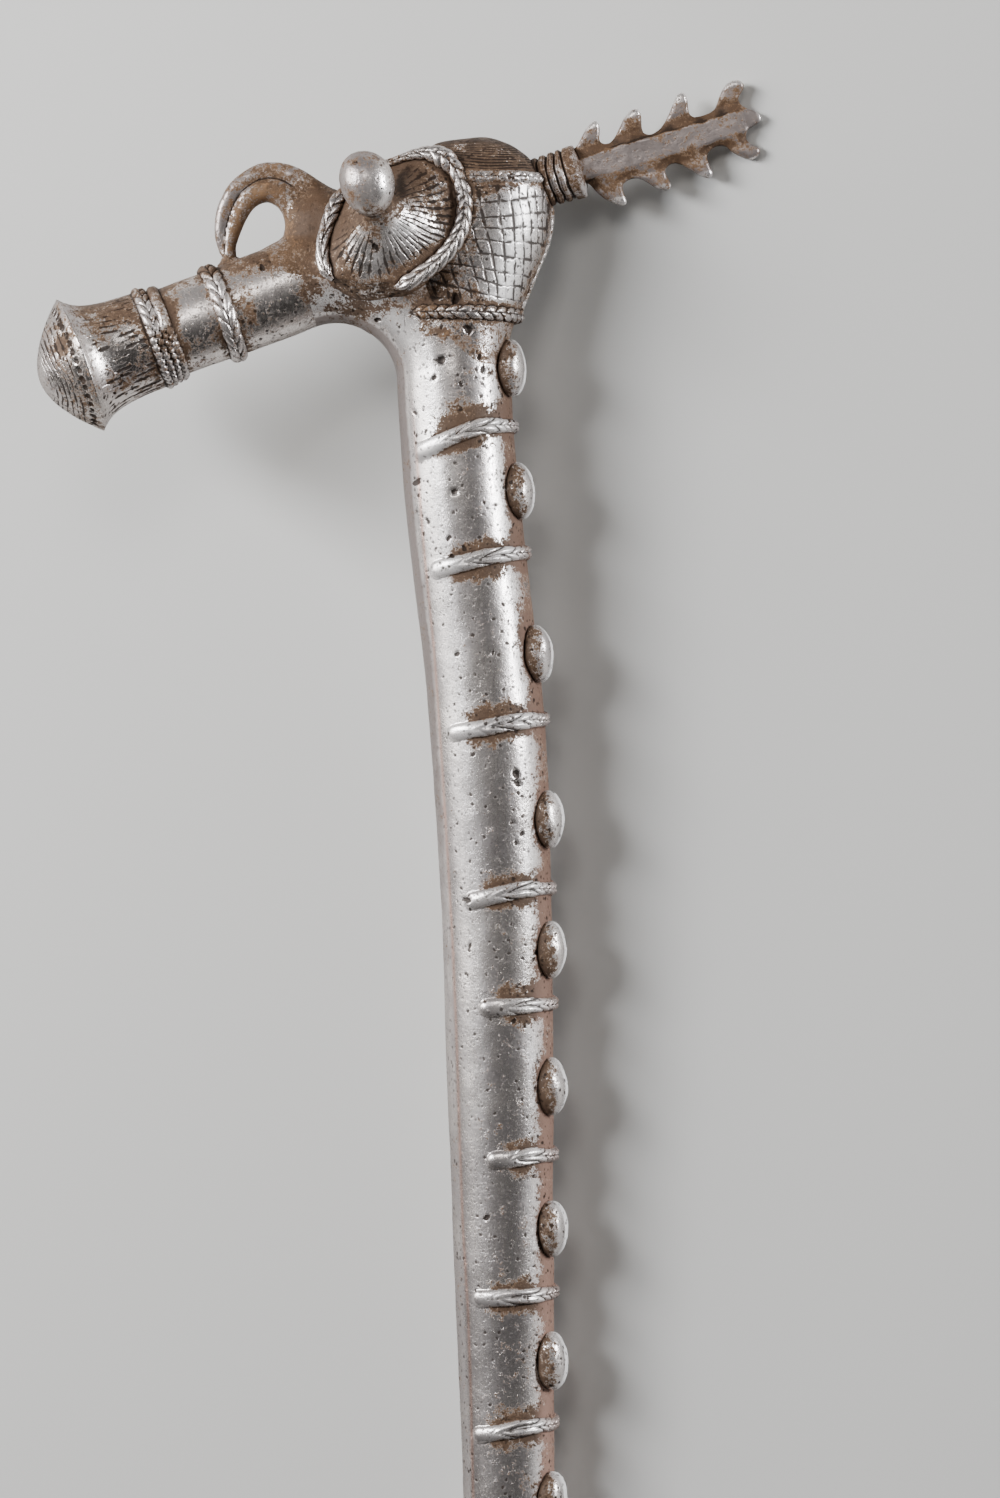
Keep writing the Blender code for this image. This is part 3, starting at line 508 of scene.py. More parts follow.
def at_even_steps(rows, step, columns):
    """Rows taken at even steps of the length that the named columns measure."""
    along = run(rows[:, columns])
    wanted = np.linspace(0, along[-1], max(2, int(along[-1] / step) + 1))
    return np.stack([np.interp(wanted, along, column) for column in rows.T], axis=1)


def turns(near_step, far_step, margin):
    """Angles round a form: fine steps over the side that faces the viewer, wide ones behind."""
    near = np.arange(-margin, 180 + margin, near_step)
    far = np.arange(180 + margin, 360 - margin, far_step)
    return np.radians(np.concatenate([near, far]))


def signed(angles, most=math.pi):
    """The same angles, with those past the most as negative ones."""
    return np.where(angles > most, angles - math.tau, angles)


def around(angles, first, second):
    """A round of points at the angles from the first direction towards the second."""
    return np.cos(angles)[:, None] * first + np.sin(angles)[:, None] * second


def from_photo(column, row):
    """The x and z of a photo pixel on the club's middle plane."""
    return (column - PHOTO_ORIGIN[0]) * PHOTO_PIXEL, (PHOTO_ORIGIN[1] - row) * PHOTO_PIXEL


def seen_at(points):
    """The photo pixel that shows each point."""
    x, z = from_photo(*PHOTO_MIDDLE)
    scale = PHOTO_PIXEL * (1 + points[..., 1] / CAMERA_DISTANCE)
    return PHOTO_MIDDLE[0] + (points[..., 0] - x) / scale, PHOTO_MIDDLE[1] - (points[..., 2] - z) / scale


def strands(phase, side, seam, dip, tilt):
    """Swell of a plait's strands, and how deep in a gap each place is. The seam runs where the side is 0."""
    part = phase - np.floor(phase)
    cell = 1 - np.abs(2 * part - 1)
    depth, half = dip
    swell = (1 - (1 - cell) ** 4) * (1 - depth * bump(side, 0, half)) + tilt * (part - 0.5)
    return swell, np.maximum(bump(cell, 0, 0.2), 0.8 * bump(side, 0, seam))


def plait(along, across, half, pitch, slant, depth):
    """Height of a plaited rope from 0 to 1, and how deep in a gap each place is."""
    edge = np.clip(np.abs(across) / half, 0, 1)
    phase = along / pitch + slant * edge + 0.5 * (across > 0)
    swell, gap = strands(phase, across / half, 0.13, (0.45, 0.25), 0.22)
    return np.sqrt(1 - edge**2) * (1 - depth * (1 - swell)), gap * (edge < 1)


def beside_rope(across, half, reach):
    """1 at the edge of a rope, fading out beside it, and 0 on the rope."""
    past = np.abs(across) - half
    return np.exp(-np.clip(past, 0, None) / reach) * (past >= 0)


def scales(along, across, half, rows, pitch, depth):
    """Height of a band of staggered oval cells from 0 to 1, and its gaps."""
    place = (across + half) / (2 * half) * rows
    row = np.clip(np.floor(place), 0, rows - 1)
    phase = along / pitch + 0.5 * (row % 2)
    away = np.hypot(2 * (phase - np.round(phase)) * 0.95, 2 * (place - row - 0.5) * 0.95)
    inside = np.abs(across) < half
    hump = np.clip(1 - np.abs(across / half) ** 4, 0, None) ** 0.5
    rise = hump * (1 - depth * np.clip(away, 0, 1.1) ** 3)
    return rise, ease(0.82, 1.02, away) * inside


class Skin:
    """A gridded skin with its marks. Rows run along it, and columns close round it."""

    def __init__(self, name, points, out):
        """Takes the points, and the way out of the form at each of them."""
        self.name = name
        self.points = points
        self.marks = {mark: np.zeros(points.shape[:-1]) for mark in MARKS}
        self.normals = None
        self.outward = 1
        if np.sum(self.facing() * out) < 0:
            self.outward = -1

    def facing(self):
        """The skin's normals."""
        round_ = np.roll(self.points, -1, axis=1) - np.roll(self.points, 1, axis=1)
        found = np.cross(np.gradient(self.points, axis=0), round_)
        return self.outward * found / np.maximum(np.linalg.norm(found, axis=-1, keepdims=True), 1e-9)

    def push(self, height):
        """Moves the skin out along its normals."""
        self.points = self.points + self.facing() * height[..., None]

    def more(self, mark, value):
        """Adds to a mark."""
        self.marks[mark] += value

    def darkest(self, mark, value):
        """Raises a mark to the value where it is lower."""
        self.marks[mark][...] = np.maximum(self.marks[mark], value)

    def part(self, name, rows):
        """A slice of the skin's rows, which shares its marks."""
        made = copy.copy(self)
        made.name = name
        made.points = self.points[rows]
        made.marks = {mark: value[rows] for mark, value in self.marks.items()}
        return made


def near_side(points):
    """The photo pixel of each point, and 1 on the near side, fading to 0 behind."""
    return (*seen_at(points), ease(4.0, -2.0, points[..., 1]))


def photo_spot(place, column, row, wide, high):
    """A soft spot at a pixel of the photo, with its half sizes in pixels."""
    across, down, near = place
    return bump(across, column, wide) * bump(down, row, high) * near


def stain_and_paint_light(skin):
    """Adds the form's stains, with wavering edges. Some of them are painted light and shade."""
    across, down, near = near_side(skin.points)
    across = across + wobble(skin.points, STAIN_WAVER, STAIN_WAVES, 5)
    down = down + wobble(skin.points, STAIN_WAVER, STAIN_WAVES, 6)
    for mark, spots in STAINS_AND_PAINTED_LIGHT[skin.name].items():
        for *spot, strength in spots:
            skin.more(mark, strength * photo_spot((across, down, near), *spot))


def dig_pits(skin):
    """Marks the casting's larger pits, and sinks the skin into them."""
    across, down = seen_at(skin.points)
    near = ease(2.0, -2.0, skin.points[..., 1])
    ragged = wobble(skin.points, 1.5, 0.9, 97)
    for number, (column, row, radius, deep) in enumerate(PITS):
        lean = 2.4 * number
        along = (across - column) * math.cos(lean) + (down - row) * math.sin(lean)
        aside = (down - row) * math.cos(lean) - (across - column) * math.sin(lean)
        away = np.hypot(along * 0.78, aside * 1.2) / radius + ragged * 0.4
        skin.darkest("pit", np.clip(1 - away / 1.8, 0, 1) * near)
        skin.push(-0.6 * deep * np.exp(-((away * 1.15) ** 4)) * near)


def uneven(skin, *waves):
    """The slight waviness of a hand-made wax: height, size and seed of each wave."""
    for wave in waves:
        skin.push(wobble(skin.points, *wave))


def shaft_centre(down):
    """Points on the shaft's line, a distance down from the head's base."""
    sway = SWAY * np.tanh((down - SWAY_DOWN) / SWAY_OVER)
    return np.stack([SHAFT_MIDDLE + SHAFT_LEAN * down + sway, 0 * down, -down], axis=-1)


def shaft_radius(down):
    """The shaft is even at first, and then tapers to the foot."""
    taper = np.clip((down / SHAFT_LENGTH - TAPER_STARTS) / (1 - TAPER_STARTS), 0, None)
    return mix(SHAFT_RADIUS, FOOT_RADIUS, taper**TAPER_CURVE)


def spine_turn(down):
    """Angle of the spine from the back: it turns a little to the near side on its way down."""
    return np.radians(mix(*SPINE_TURN, down / SHAFT_LENGTH))


def muzzle_axis(yaw):
    """Direction out along the muzzle, turned to the near side by an angle."""
    flat = vec(-math.cos(MUZZLE_DROOP), 0, -math.sin(MUZZLE_DROOP))
    return math.cos(yaw) * flat + math.sin(yaw) * vec(0, -1, 0)


def bend_point(turn, reach):
    """A point on the bend, at an angle and a distance from its centre."""
    return vec(BEND_CENTRE[0] + reach * math.cos(turn), 0, BEND_CENTRE[1] + reach * math.sin(turn))


def muzzle_point(back):
    """A point on the muzzle's line, a distance back from the knob's rim."""
    start = bend_point(math.pi / 2 + MUZZLE_DROOP, BEND_REACH[1])
    return start + (MUZZLE_LENGTH - back)[:, None] * muzzle_axis(MUZZLE_YAW)


class BodyLine:
    """Rows of the body from the foot up the shaft, round the bend and out to the tip of the knob."""

    def __init__(self):
        self.centres, self.axes, self.radii, self.downs, self.backs = [], [], [], [], []
        self.foot_and_shaft()
        self.bend()
        self.muzzle()
        self.dome()
        self.centres = np.vstack(self.centres)
        self.axes = np.vstack(self.axes)
        self.radii, self.downs, self.backs = (
            np.concatenate(rows) for rows in (self.radii, self.downs, self.backs)
        )

    def add(self, centres, axes, radii, downs, backs):
        """Adds rows: their distance down the shaft and back from the knob's rim come last."""
        count = len(radii)
        self.centres.append(centres)
        self.axes.append(np.broadcast_to(axes, (count, 3)))
        self.radii.append(radii)
        self.downs.append(np.broadcast_to(downs, count))
        self.backs.append(np.broadcast_to(backs, count))

    def foot_and_shaft(self):
        corner = np.radians(np.linspace(0, 90, 7))
        flat = np.linspace(0.05, FOOT_RADIUS - FOOT_ROUNDING, 14)[:-1]
        radii = np.concatenate([flat, FOOT_RADIUS - FOOT_ROUNDING * (1 - np.sin(corner))])
        rounded = SHAFT_LENGTH - FOOT_ROUNDING * (1 - np.cos(corner))
        downs = np.concatenate([flat * 0 + SHAFT_LENGTH, rounded])
        self.shaft_rows(downs, radii)
        spots = [share * SHAFT_LENGTH for share, _, _ in BANDS]
        start = -bend_point(BEND_START, BEND_REACH[0])[2]
        downs = stations(start, SHAFT_LENGTH - FOOT_ROUNDING, SHAFT_STEPS, spots)[::-1][1:]
        self.shaft_rows(downs, shaft_radius(downs))

    def shaft_rows(self, downs, radii):
        step = 0.5
        axes = unit(shaft_centre(downs - step) - shaft_centre(downs + step))
        self.add(shaft_centre(downs), axes, radii, downs, FAR_OFF)

    def bend(self):
        share = np.linspace(0, 1, 90)[1:]
        turn = mix(BEND_START, math.pi / 2 + MUZZLE_DROOP, share)
        reach = mix(*BEND_REACH, share)
        centres = np.array([bend_point(*pair) for pair in zip(turn, reach)])
        axes = np.stack([-np.sin(turn), 0 * turn, np.cos(turn)], axis=-1)
        bent = ease(0.75, 1.0, share)[:, None]
        axes = unit(axes + bent * (muzzle_axis(MUZZLE_YAW) - muzzle_axis(0)))
        self.add(centres, axes, mix(SHAFT_RADIUS, MUZZLE_RADIUS, share), -centres[:, 2], FAR_OFF)

    def muzzle(self):
        spots = (0.0, BROAD_ROPE[0], SINGLE_ROPE[0])
        backs = stations(0.0, MUZZLE_LENGTH, MUZZLE_STEPS, spots)[::-1][1:]
        neck = mix(NECK_RADIUS, MUZZLE_RADIUS, ease(NECK_LENGTH, NECK_LENGTH + 5, backs))
        radii = neck + (KNOB_RADIUS - NECK_RADIUS) * np.exp(-backs / FLARE_OVER)
        tips = KNOB_TIP * ease(BROAD_ROPE[0], 0.0, backs)
        axes = np.array([muzzle_axis(MUZZLE_YAW + tip) for tip in tips])
        self.add(muzzle_point(backs), axes, radii, -FAR_OFF, backs)

    def dome(self):
        radii = np.concatenate([np.linspace(KNOB_RADIUS, 4, 62)[1:], np.linspace(4, 0.05, 9)[1:]])
        height = DOME_HEIGHT * (1 - (radii / KNOB_RADIUS) ** DOME_POWER)
        axis = muzzle_axis(MUZZLE_YAW + KNOB_TIP)
        centres = muzzle_point(0 * radii) + height[:, None] * axis
        self.add(centres, axis, radii, -FAR_OFF, -(KNOB_RADIUS - radii))


def band_relief(skin, downs, angles):
    """The part rings round the shaft: plaited towards the spine, smooth at their near ends."""
    angles = signed(angles, math.radians(200))
    height = np.zeros(skin.points.shape[:2])
    for number, (share, end, drop) in enumerate(BANDS):
        middle = share * SHAFT_LENGTH
        near = np.nonzero(np.abs(downs - middle) < BAND_REACH)[0]
        rows = slice(near[0], near[-1] + 1)
        band = skin.part("band", rows)
        spine = spine_turn(middle)
        reach = math.radians(end) - spine
        turn = angles[None, :] - spine
        out = np.abs(turn) / reach
        lean = drop * np.where(turn > 0, ease(0.3, 1.05, out), 0.3 * ease(0.4, 1.0, out))
        across = downs[rows][:, None] - middle - lean + wobble(band.points, 0.7, 6.0, 30 + number)
        along = turn * shaft_radius(middle)
        to_end = (1 - out) * reach * shaft_radius(middle)
        blunt = np.sqrt(np.clip(1 - np.clip(1 - to_end / 2.4, 0, 1) ** 2, 0, 1)) * (to_end > 0)
        half = np.maximum(BAND_HALF * blunt * mix(0.9, 1.08, ease(0.15, 0.5, out)), 1e-3)
        pitch = BAND_PITCH * (1 + 0.14 * math.sin(2.3 * number)) * mix(0.8, 1.35, ease(0.15, 0.65, out))
        plaited = ease(0.82, 0.5, out)
        rise, gap = plait(along + 0.7 * number, across, half, pitch, 0.8, 0.62 * plaited)
        rise = rise * BAND_PROUD * blunt * mix(1.0, 0.62, ease(0.45, 0.85, out))
        height[rows] = np.maximum(height[rows], rise)
        far = np.abs(across) / np.maximum(half, 0.3)
        side = ease(0.1, 0.9, to_end / 10)
        band.darkest("groove", np.maximum(gap * plaited, 0.6 * bump(far, 1.1, 0.16) * side))
        band.more("rub", (far < 0.95) * side)
        ragged = 0.55 + 0.9 * lattice_noise(band.points, 3.0, 60 + number)
        beside = np.clip(np.abs(across) - half, 0, None) / (np.where(across < 0, 5.6, 4.4) * ragged)
        shade = np.clip(1 - beside, 0, 1) * (far > 1) * side
        on_spine = ease(0.8, 0.5, np.abs(angles - spine))[None, :]
        band.more("tarnish", 1.15 * shade * ease(1.0, 0.7, out))
        band.more("tarnish", (far < 1) * (0.16 * plaited - 0.45 * on_spine))
    return height


def muzzle_rope_relief(skin, backs, angles):
    """The broad rope behind the knob, scaled below and plaited above, and the single one nearer the head."""
    rows = slice(np.nonzero(backs < FAR_OFF)[0][0], None)
    muzzle = skin.part("muzzle", rows)
    height = np.zeros(skin.points.shape[:2])
    along = angles[None, :] * (MUZZLE_RADIUS + 1)
    level = np.cos(angles)[None, :]
    for number, (middle, half, proud, pitch) in enumerate((BROAD_ROPE, SINGLE_ROPE)):
        across = backs[rows][:, None] - middle + wobble(muzzle.points, 1.0, 7.0, 90 + number)
        if number == 0:
            upper = ease(-0.05, 0.25, level)
            fine, fine_gap = scales(along, across, half, 4, 2.05, 0.55)
            coarse, coarse_gap = plait(along, across + 0.42 * half, 0.6 * half, pitch, 0.8, 0.6)
            border = np.sqrt(np.clip(1 - ((across - 0.58 * half) / (0.4 * half)) ** 2, 0, None))
            rise = mix(fine, np.maximum(coarse, 0.8 * border), upper)
            gap = mix(fine_gap, coarse_gap, upper)
        else:
            narrow = half * mix(1.05, 0.8, ease(0.0, -0.9, level))
            rise, gap = plait(along, across, narrow, pitch, 0.9, 0.65)
        far = np.abs(across) / half
        height[rows] = np.maximum(height[rows], rise * proud * (far < 1.05))
        muzzle.darkest("groove", np.maximum(gap, 0.85 * bump(far, 1.08, 0.12)))
        muzzle.more("rub", (far < 1) * 0.5)
        muzzle.more("tarnish", (far < 1) * (0.1 + 0.28 * ease(0.3, 0.9, level)))
        shade = 0.2 + 0.9 * lattice_noise(muzzle.points, 5.0, 95)
        muzzle.more("tarnish", beside_rope(across, half, 1.6) * shade)
    return height


def body_skin():
    """Shaft, bend, muzzle and knob as one skin."""
    line = BodyLine()
    angles = turns(*BODY_TURNS)
    near = unit(vec(0, -1, 0) - line.axes * (line.axes @ vec(0, -1, 0))[:, None])
    ring = around(angles, np.cross(line.axes, near)[:, None, :], near[:, None, :])
    skin = Skin("body", line.centres[:, None, :] + line.radii[:, None, None] * ring, ring)
    uneven(skin, (0.5, 23.0, 1), (0.18, 6.0, 2), (0.05, 2.6, 3))
    skin.push(np.maximum(band_relief(skin, line.downs, angles), muzzle_rope_relief(skin, line.backs, angles)))
    knob_marks(skin, line, angles)
    shaft_marks(skin, line, angles)
    stain_and_paint_light(skin)
    return skin, line


def knob_marks(skin, line, angles):
    """Lines cut round the dome, the dots inside its rim, and the dashes along its neck."""
    inner = (1 + line.backs / KNOB_RADIUS)[:, None]
    dome = (line.backs < 0)[:, None]
    flow = wobble(skin.points, 1.5, 9.0, 11) + wobble(skin.points, 0.7, 3.5, 12)
    rings = (inner * KNOB_RADIUS + flow) / KNOB_LINE_GAP
    skin.marks["line_a"] = np.where(dome, rings, skin.marks["line_a"])
    lined = ease(*DOME_LINES_FROM, inner) * ease(*DOME_LINES_TO, inner)
    skin.more("cut_a", dome * lined * (0.75 + 0.9 * (lattice_noise(skin.points, 5.0, 13) - 0.3)))

    turn = angles * DOTS / math.tau
    aside = (turn - np.round(turn))[None, :] * math.tau / DOTS * KNOB_RADIUS * DOT_RING
    away = np.hypot(aside / DOT_RADII[0], (inner - DOT_RING) * KNOB_RADIUS / DOT_RADII[1])
    skin.push(-0.4 * dome * np.exp(-(away**4)))
    skin.darkest("pit", dome * np.clip(1 - away / 1.8, 0, 1))

    backs = line.backs[:, None]
    neck = ease(1.5, 5.0, backs) * ease(BROAD_ROPE[0] - 3.6, BROAD_ROPE[0] - 5.0, backs)
    dash = angles[None, :] * NECK_DASHES / math.tau + wobble(skin.points, 0.5, 5.0, 14)
    place = np.stack([np.round(dash) * 3.1, backs / 4.2 + 0 * dash, 0 * dash], axis=-1)
    kept = ease(0.36, 0.52, lattice_noise(place, 1.0, 15))
    muzzle = (backs < FAR_OFF) * (backs > 0)
    skin.marks["line_b"] = np.where(muzzle, dash, skin.marks["line_b"])
    level = np.cos(angles)[None, :]
    skin.more("cut_b", 1.15 * neck * kept * mix(0.55, 1.0, ease(0.7, -0.1, level)))

    dent = photo_spot(near_side(skin.points), *KNOB_DENT) * dome
    skin.push(-0.7 * dent)
    skin.more("tarnish", dome * (0.2 + 0.2 * ease(0.4, 0.75, inner)) + 0.5 * dent)
    skin.more("tarnish", neck * (0.16 + 0.16 * ease(0.0, 0.6, level)))
    skin.more("tarnish", muzzle * (0.16 + 0.38 * ease(0.6, 0.98, level)))
    # Painted shade: less dull along the muzzle's underside, which leaves it darker
    skin.more("dull", muzzle * 0.4 * ease(-0.45, 0.3, level) - 0.3 * neck)
    skin.more("tan", dome * 0.22 * bump(inner, 0.95, 0.1) + 0.4 * dent)


def shaft_marks(skin, line, angles):
    """The brown film left along the spine, the dirt round the bosses, painted shade down the far left side,
    painted highlights along the front, and a painted warm reflection down the front.
    """
    shaft = (line.downs > -20)[:, None]
    turn = signed(angles)[None, :]
    downs = np.clip(line.downs, 0, None)[:, None]
    wavy = wobble(skin.points, 0.3, 9.0, 7) + wobble(skin.points, 0.2, 3.0, 8)
    beside = np.abs(turn - spine_turn(downs) * 0.6) + wavy * 0.6
    skin.more("tarnish", shaft * (0.12 + 0.52 * np.clip((0.74 - beside) / 0.4, 0, 1)))
    skin.more("rose", shaft * mix(0.08, 0.5, downs / 300) * ease(0.8, 0.35, beside))
    # Painted shade: the far left side of the upper shaft is made duller and darker
    skin.more("dull", shaft * 0.9 * ease(2.45, 2.7, turn) * ease(260, 60, downs) * (turn > 0))
    # Painted highlights: two bright bands along the shaft, fading towards the foot, and a broad brightened
    # side
    highlight_bands = np.clip(1.15 - downs / 300, 0.1, 1) * bump(turn, 2.15, 0.36) + bump(turn, 0.78, 0.25)
    skin.more("rub", shaft * (1.9 * highlight_bands + 0.3 * ease(0.7, 1.1, turn) * ease(2.9, 2.3, turn)))
    for share in BOSS_SHARES:
        down = share * SHAFT_LENGTH
        aside = (turn - boss_turn(down)) * shaft_radius(down)
        away = np.hypot(aside / BOSS_SIZE[1], (line.downs[:, None] - down) / BOSS_SIZE[2])
        skin.more("tarnish", shaft * 0.5 * np.clip(2.2 - away - 0.8 * wavy, 0, 1))
        skin.darkest("groove", shaft * 0.75 * ease(1.06, 0.94, away))
    # Painted reflection: the thin warm line down the front of the shaft is painted rose
    across, row = seen_at(skin.points)
    path = np.array(PAINTED_WARM_REFLECTION, float)
    beside = across - np.interp(row, path[:, 1], path[:, 0])
    fade = ease(path[0, 1] - 30, path[0, 1] + 90, row)
    skin.more("rose", shaft * fade * bump(beside, 0, 1.5) * (skin.points[..., 1] < 0))
    skin.darkest("groove", 0.85 * photo_spot(near_side(skin.points), *FRONT_CUT))


def boss_turn(down):
    """Angle of a boss from the back, a little to the near side of the spine."""
    return spine_turn(down) + math.radians(BOSS_TURN)


def split_body(skin, line):
    """The body as three pieces, cut where a band hides it. They keep the whole skin's normals."""
    cuts = [BANDS[number][0] * SHAFT_LENGTH + 1.5 for number in CUT_BANDS]
    low, high = (int(np.argmin(np.abs(line.downs - cut))) for cut in cuts)
    normals = skin.facing()
    made = []
    ends = (("shaft_foot", 0, low), ("shaft_grip", low, high), ("muzzle", high, len(normals)))
    for name, first, last in ends:
        rows = slice(first, last + 1)
        made.append(skin.part(name, rows))
        made[-1].normals = normals[rows]
    return made


def boss_skins():
    """The domed bosses, each pressed on a little differently."""
    rise = np.radians(np.linspace(-89.5, 89.5, 40))[:, None]
    angles = np.radians(np.arange(0, 360, 6.0))
    dome = np.sin(rise) * np.where(rise > 0, BOSS_SIZE[0] * 1.05, BOSS_ROOT)
    ring = np.cos(rise) ** np.where(rise > 0, 0.95, 0.6)
    near = vec(0, -1, 0)
    made = []
    for number, share in enumerate(BOSS_SHARES):
        down = share * SHAFT_LENGTH
        turn = float(boss_turn(down))
        above, centre, below = shaft_centre(vec(down + 0.5, down, down - 0.5))
        axis = unit(above - below)
        out = math.cos(turn) * np.cross(near, axis) + math.sin(turn) * near
        side = np.cross(axis, out)
        swell = 1 + 0.05 * math.sin(3.1 * number)
        oval = around(angles, BOSS_SIZE[1] * side, BOSS_SIZE[2] * axis)
        points = dome[..., None] * out + swell * ring[..., None] * oval
        foot = centre + (float(shaft_radius(down)) + BOSS_LIFT) * out
        skin = Skin(f"boss_{number}", foot + points, points)
        uneven(skin, (0.6, 5.0, 110 + number), (0.2, 2.0, 130 + number))
        facing = -side[1] * np.cos(angles)
        skin.more("tarnish", 0.3 * ease(0.35, 0.05, rise))
        skin.darkest("groove", 0.8 * ease(-0.4, -0.75, rise))
        # Painted shade and highlight: each boss is browned on the side away from the light and brightened on
        # the other
        skin.more("tarnish", 0.7 * ease(0.05, 0.6, facing) * ease(1.25, 0.5, rise))
        skin.more("rub", mix(0.8, 4.4, ease(0.4, -0.3, facing)))
        made.append(skin)
    return made


def brow_rope(skin, heights, turn):
    """Height of the rope that lies round the head over its brow."""
    at, reach, half, proud, pitch = BROW_ROPE
    across = heights - at + wobble(skin.points, 0.9, 7.0, 23)
    blunt = ease(0.0, 2.0, (math.radians(reach) - np.abs(turn)) * HEAD_RADIUS)
    rise, gap = plait(turn * HEAD_RADIUS, across, half, pitch, 1.0, 0.6)
    inside = np.abs(across) < half
    skin.darkest("groove", np.maximum(gap, 0.6 * bump(np.abs(across) / half, 1.1, 0.16)) * blunt)
    skin.more("rub", 0.7 * inside * blunt * ease(1.9, 0.9, np.abs(turn)))
    skin.more("tarnish", 0.4 * beside_rope(across, half, 2.5) * blunt)
    return proud * rise * blunt * inside


def head_skin():
    """The head with its crown, brow rope, hatched side and the ridge down its back."""
    rows = at_even_steps(smooth_rows(HEAD_LEVELS, 24), 0.4, [0, 2, 3])
    heights, front, back, wide = rows.T[..., None]
    angles = turns(*HEAD_TURNS)
    turn = signed(angles)[None, :]
    deep = (back - front) / 2
    x = (front + back) / 2 + deep * np.cos(angles)
    points = np.stack([x, -wide * np.sin(angles), heights + 0 * x], axis=-1)
    skin = Skin("head", points, points - HEAD_INSIDE)
    uneven(skin, (0.6, 14.0, 21), (0.2, 4.0, 25))
    relief = brow_rope(skin, heights, turn)
    aside = turn * deep
    top, bottom = BACK_RIDGE
    ridge_on = ease(top + 1, top - 2, heights) * ease(bottom - 1, bottom + 2, heights)
    ridge, gap = plait(heights + 0 * aside, aside, 1.0, 2.2, 0.8, 0.5)
    skin.push(np.maximum(relief, 0.9 * ridge * ridge_on * (np.abs(aside) < 1)))
    skin.darkest("groove", np.maximum(gap, 0.8 * bump(np.abs(aside), 1.2, 0.3)) * ridge_on)
    skin.more("rub", (np.abs(aside) < 0.9) * ridge_on)
    hatch_head(skin, heights, np.abs(turn), run(rows[:, [0, 2, 3]])[:, None] + 1.5 * np.sin(1.5 * turn))
    stain_and_paint_light(skin)
    return skin


def hatch_head(skin, heights, aside, flow):
    """The flowing lines of the crown and the crossing lines of the side panel."""
    flow = flow + wobble(skin.points, 2.2, 11.0, 24)
    crown = ease(*CROWN_FROM, heights)
    panel = ease(*PANEL_BOTTOM, heights) * ease(*PANEL_TOP, heights) * ease(*PANEL_FRONT, aside)
    across, down = seen_at(skin.points)
    down = down + wobble(skin.points, 5.0, 8.0, 26)
    lean = PANEL_LEAN * (down - PANEL_LEAN_ROW) * ease(*PANEL_LEAN_COLUMNS, across)
    leaned = across - lean - wobble(skin.points, 7.0, 9.0, 27)
    slope = np.clip((down - PANEL_LEVEL_ROW) * PANEL_SLOPE, *PANEL_SLOPES)
    sloped = down - slope * (across - PANEL_HUB_COLUMN)
    upright = np.interp(leaned, PANEL_COLUMNS, np.arange(len(PANEL_COLUMNS)))
    level = np.interp(sloped, PANEL_ROWS, np.arange(len(PANEL_ROWS)))
    above = heights > CROWN_LEVEL
    skin.marks["line_a"] = np.where(above, flow / CROWN_PITCH, upright)
    skin.marks["line_b"] = np.where(above, 0.0, level)
    skin.more("cut_a", crown * 1.1 + 0.66 * panel)
    skin.more("cut_b", 0.58 * panel)
    strokes = lattice_noise(skin.points * vec(0.12, 0.4, 1.0), 1.3, 28) - 0.5
    skin.more("tarnish", 0.46 + crown * (0.6 + 0.8 * strokes))
    skin.more("tarnish", panel * (0.25 * ease(0.5, 0.2, aside) - 0.2 * ease(1.45, 0.9, aside)))
    # Painted highlight: a bright band across the side panel
    skin.more("rub", 3.0 * panel * bump(aside, 0.88, 0.36))


def turret_axes():
    """The near turret's centre, the way its mouth faces, and two directions across that."""
    centre = vec(*TURRET_CENTRE)
    lean = unit(vec(*TURRET_LEAN))
    across = unit(np.cross(lean, vec(0, 0, 1)))
    across = across if across[0] > 0 else -across
    along = np.cross(lean, across)
    along = along if along[2] > 0 else -along
    return centre, lean, across, along


def rim_radius(angles):
    """The turret's rim, smoothed from its listed radii."""
    table = np.array(TURRET_RIM, float)
    degrees = np.mod(np.degrees(angles) + 92, 360) - 92
    fine = np.arange(-92, 268, 1.0)
    read = np.interp(fine, np.append(table[:, 0], 268), np.append(table[:, 1], table[0, 1]))
    soft = sum(np.roll(read, shift) * weight for shift, weight in zip(range(-8, 9), np.hanning(19)[1:-1]))
    soft /= np.sum(np.hanning(19)[1:-1])
    return np.interp(degrees, fine, soft)


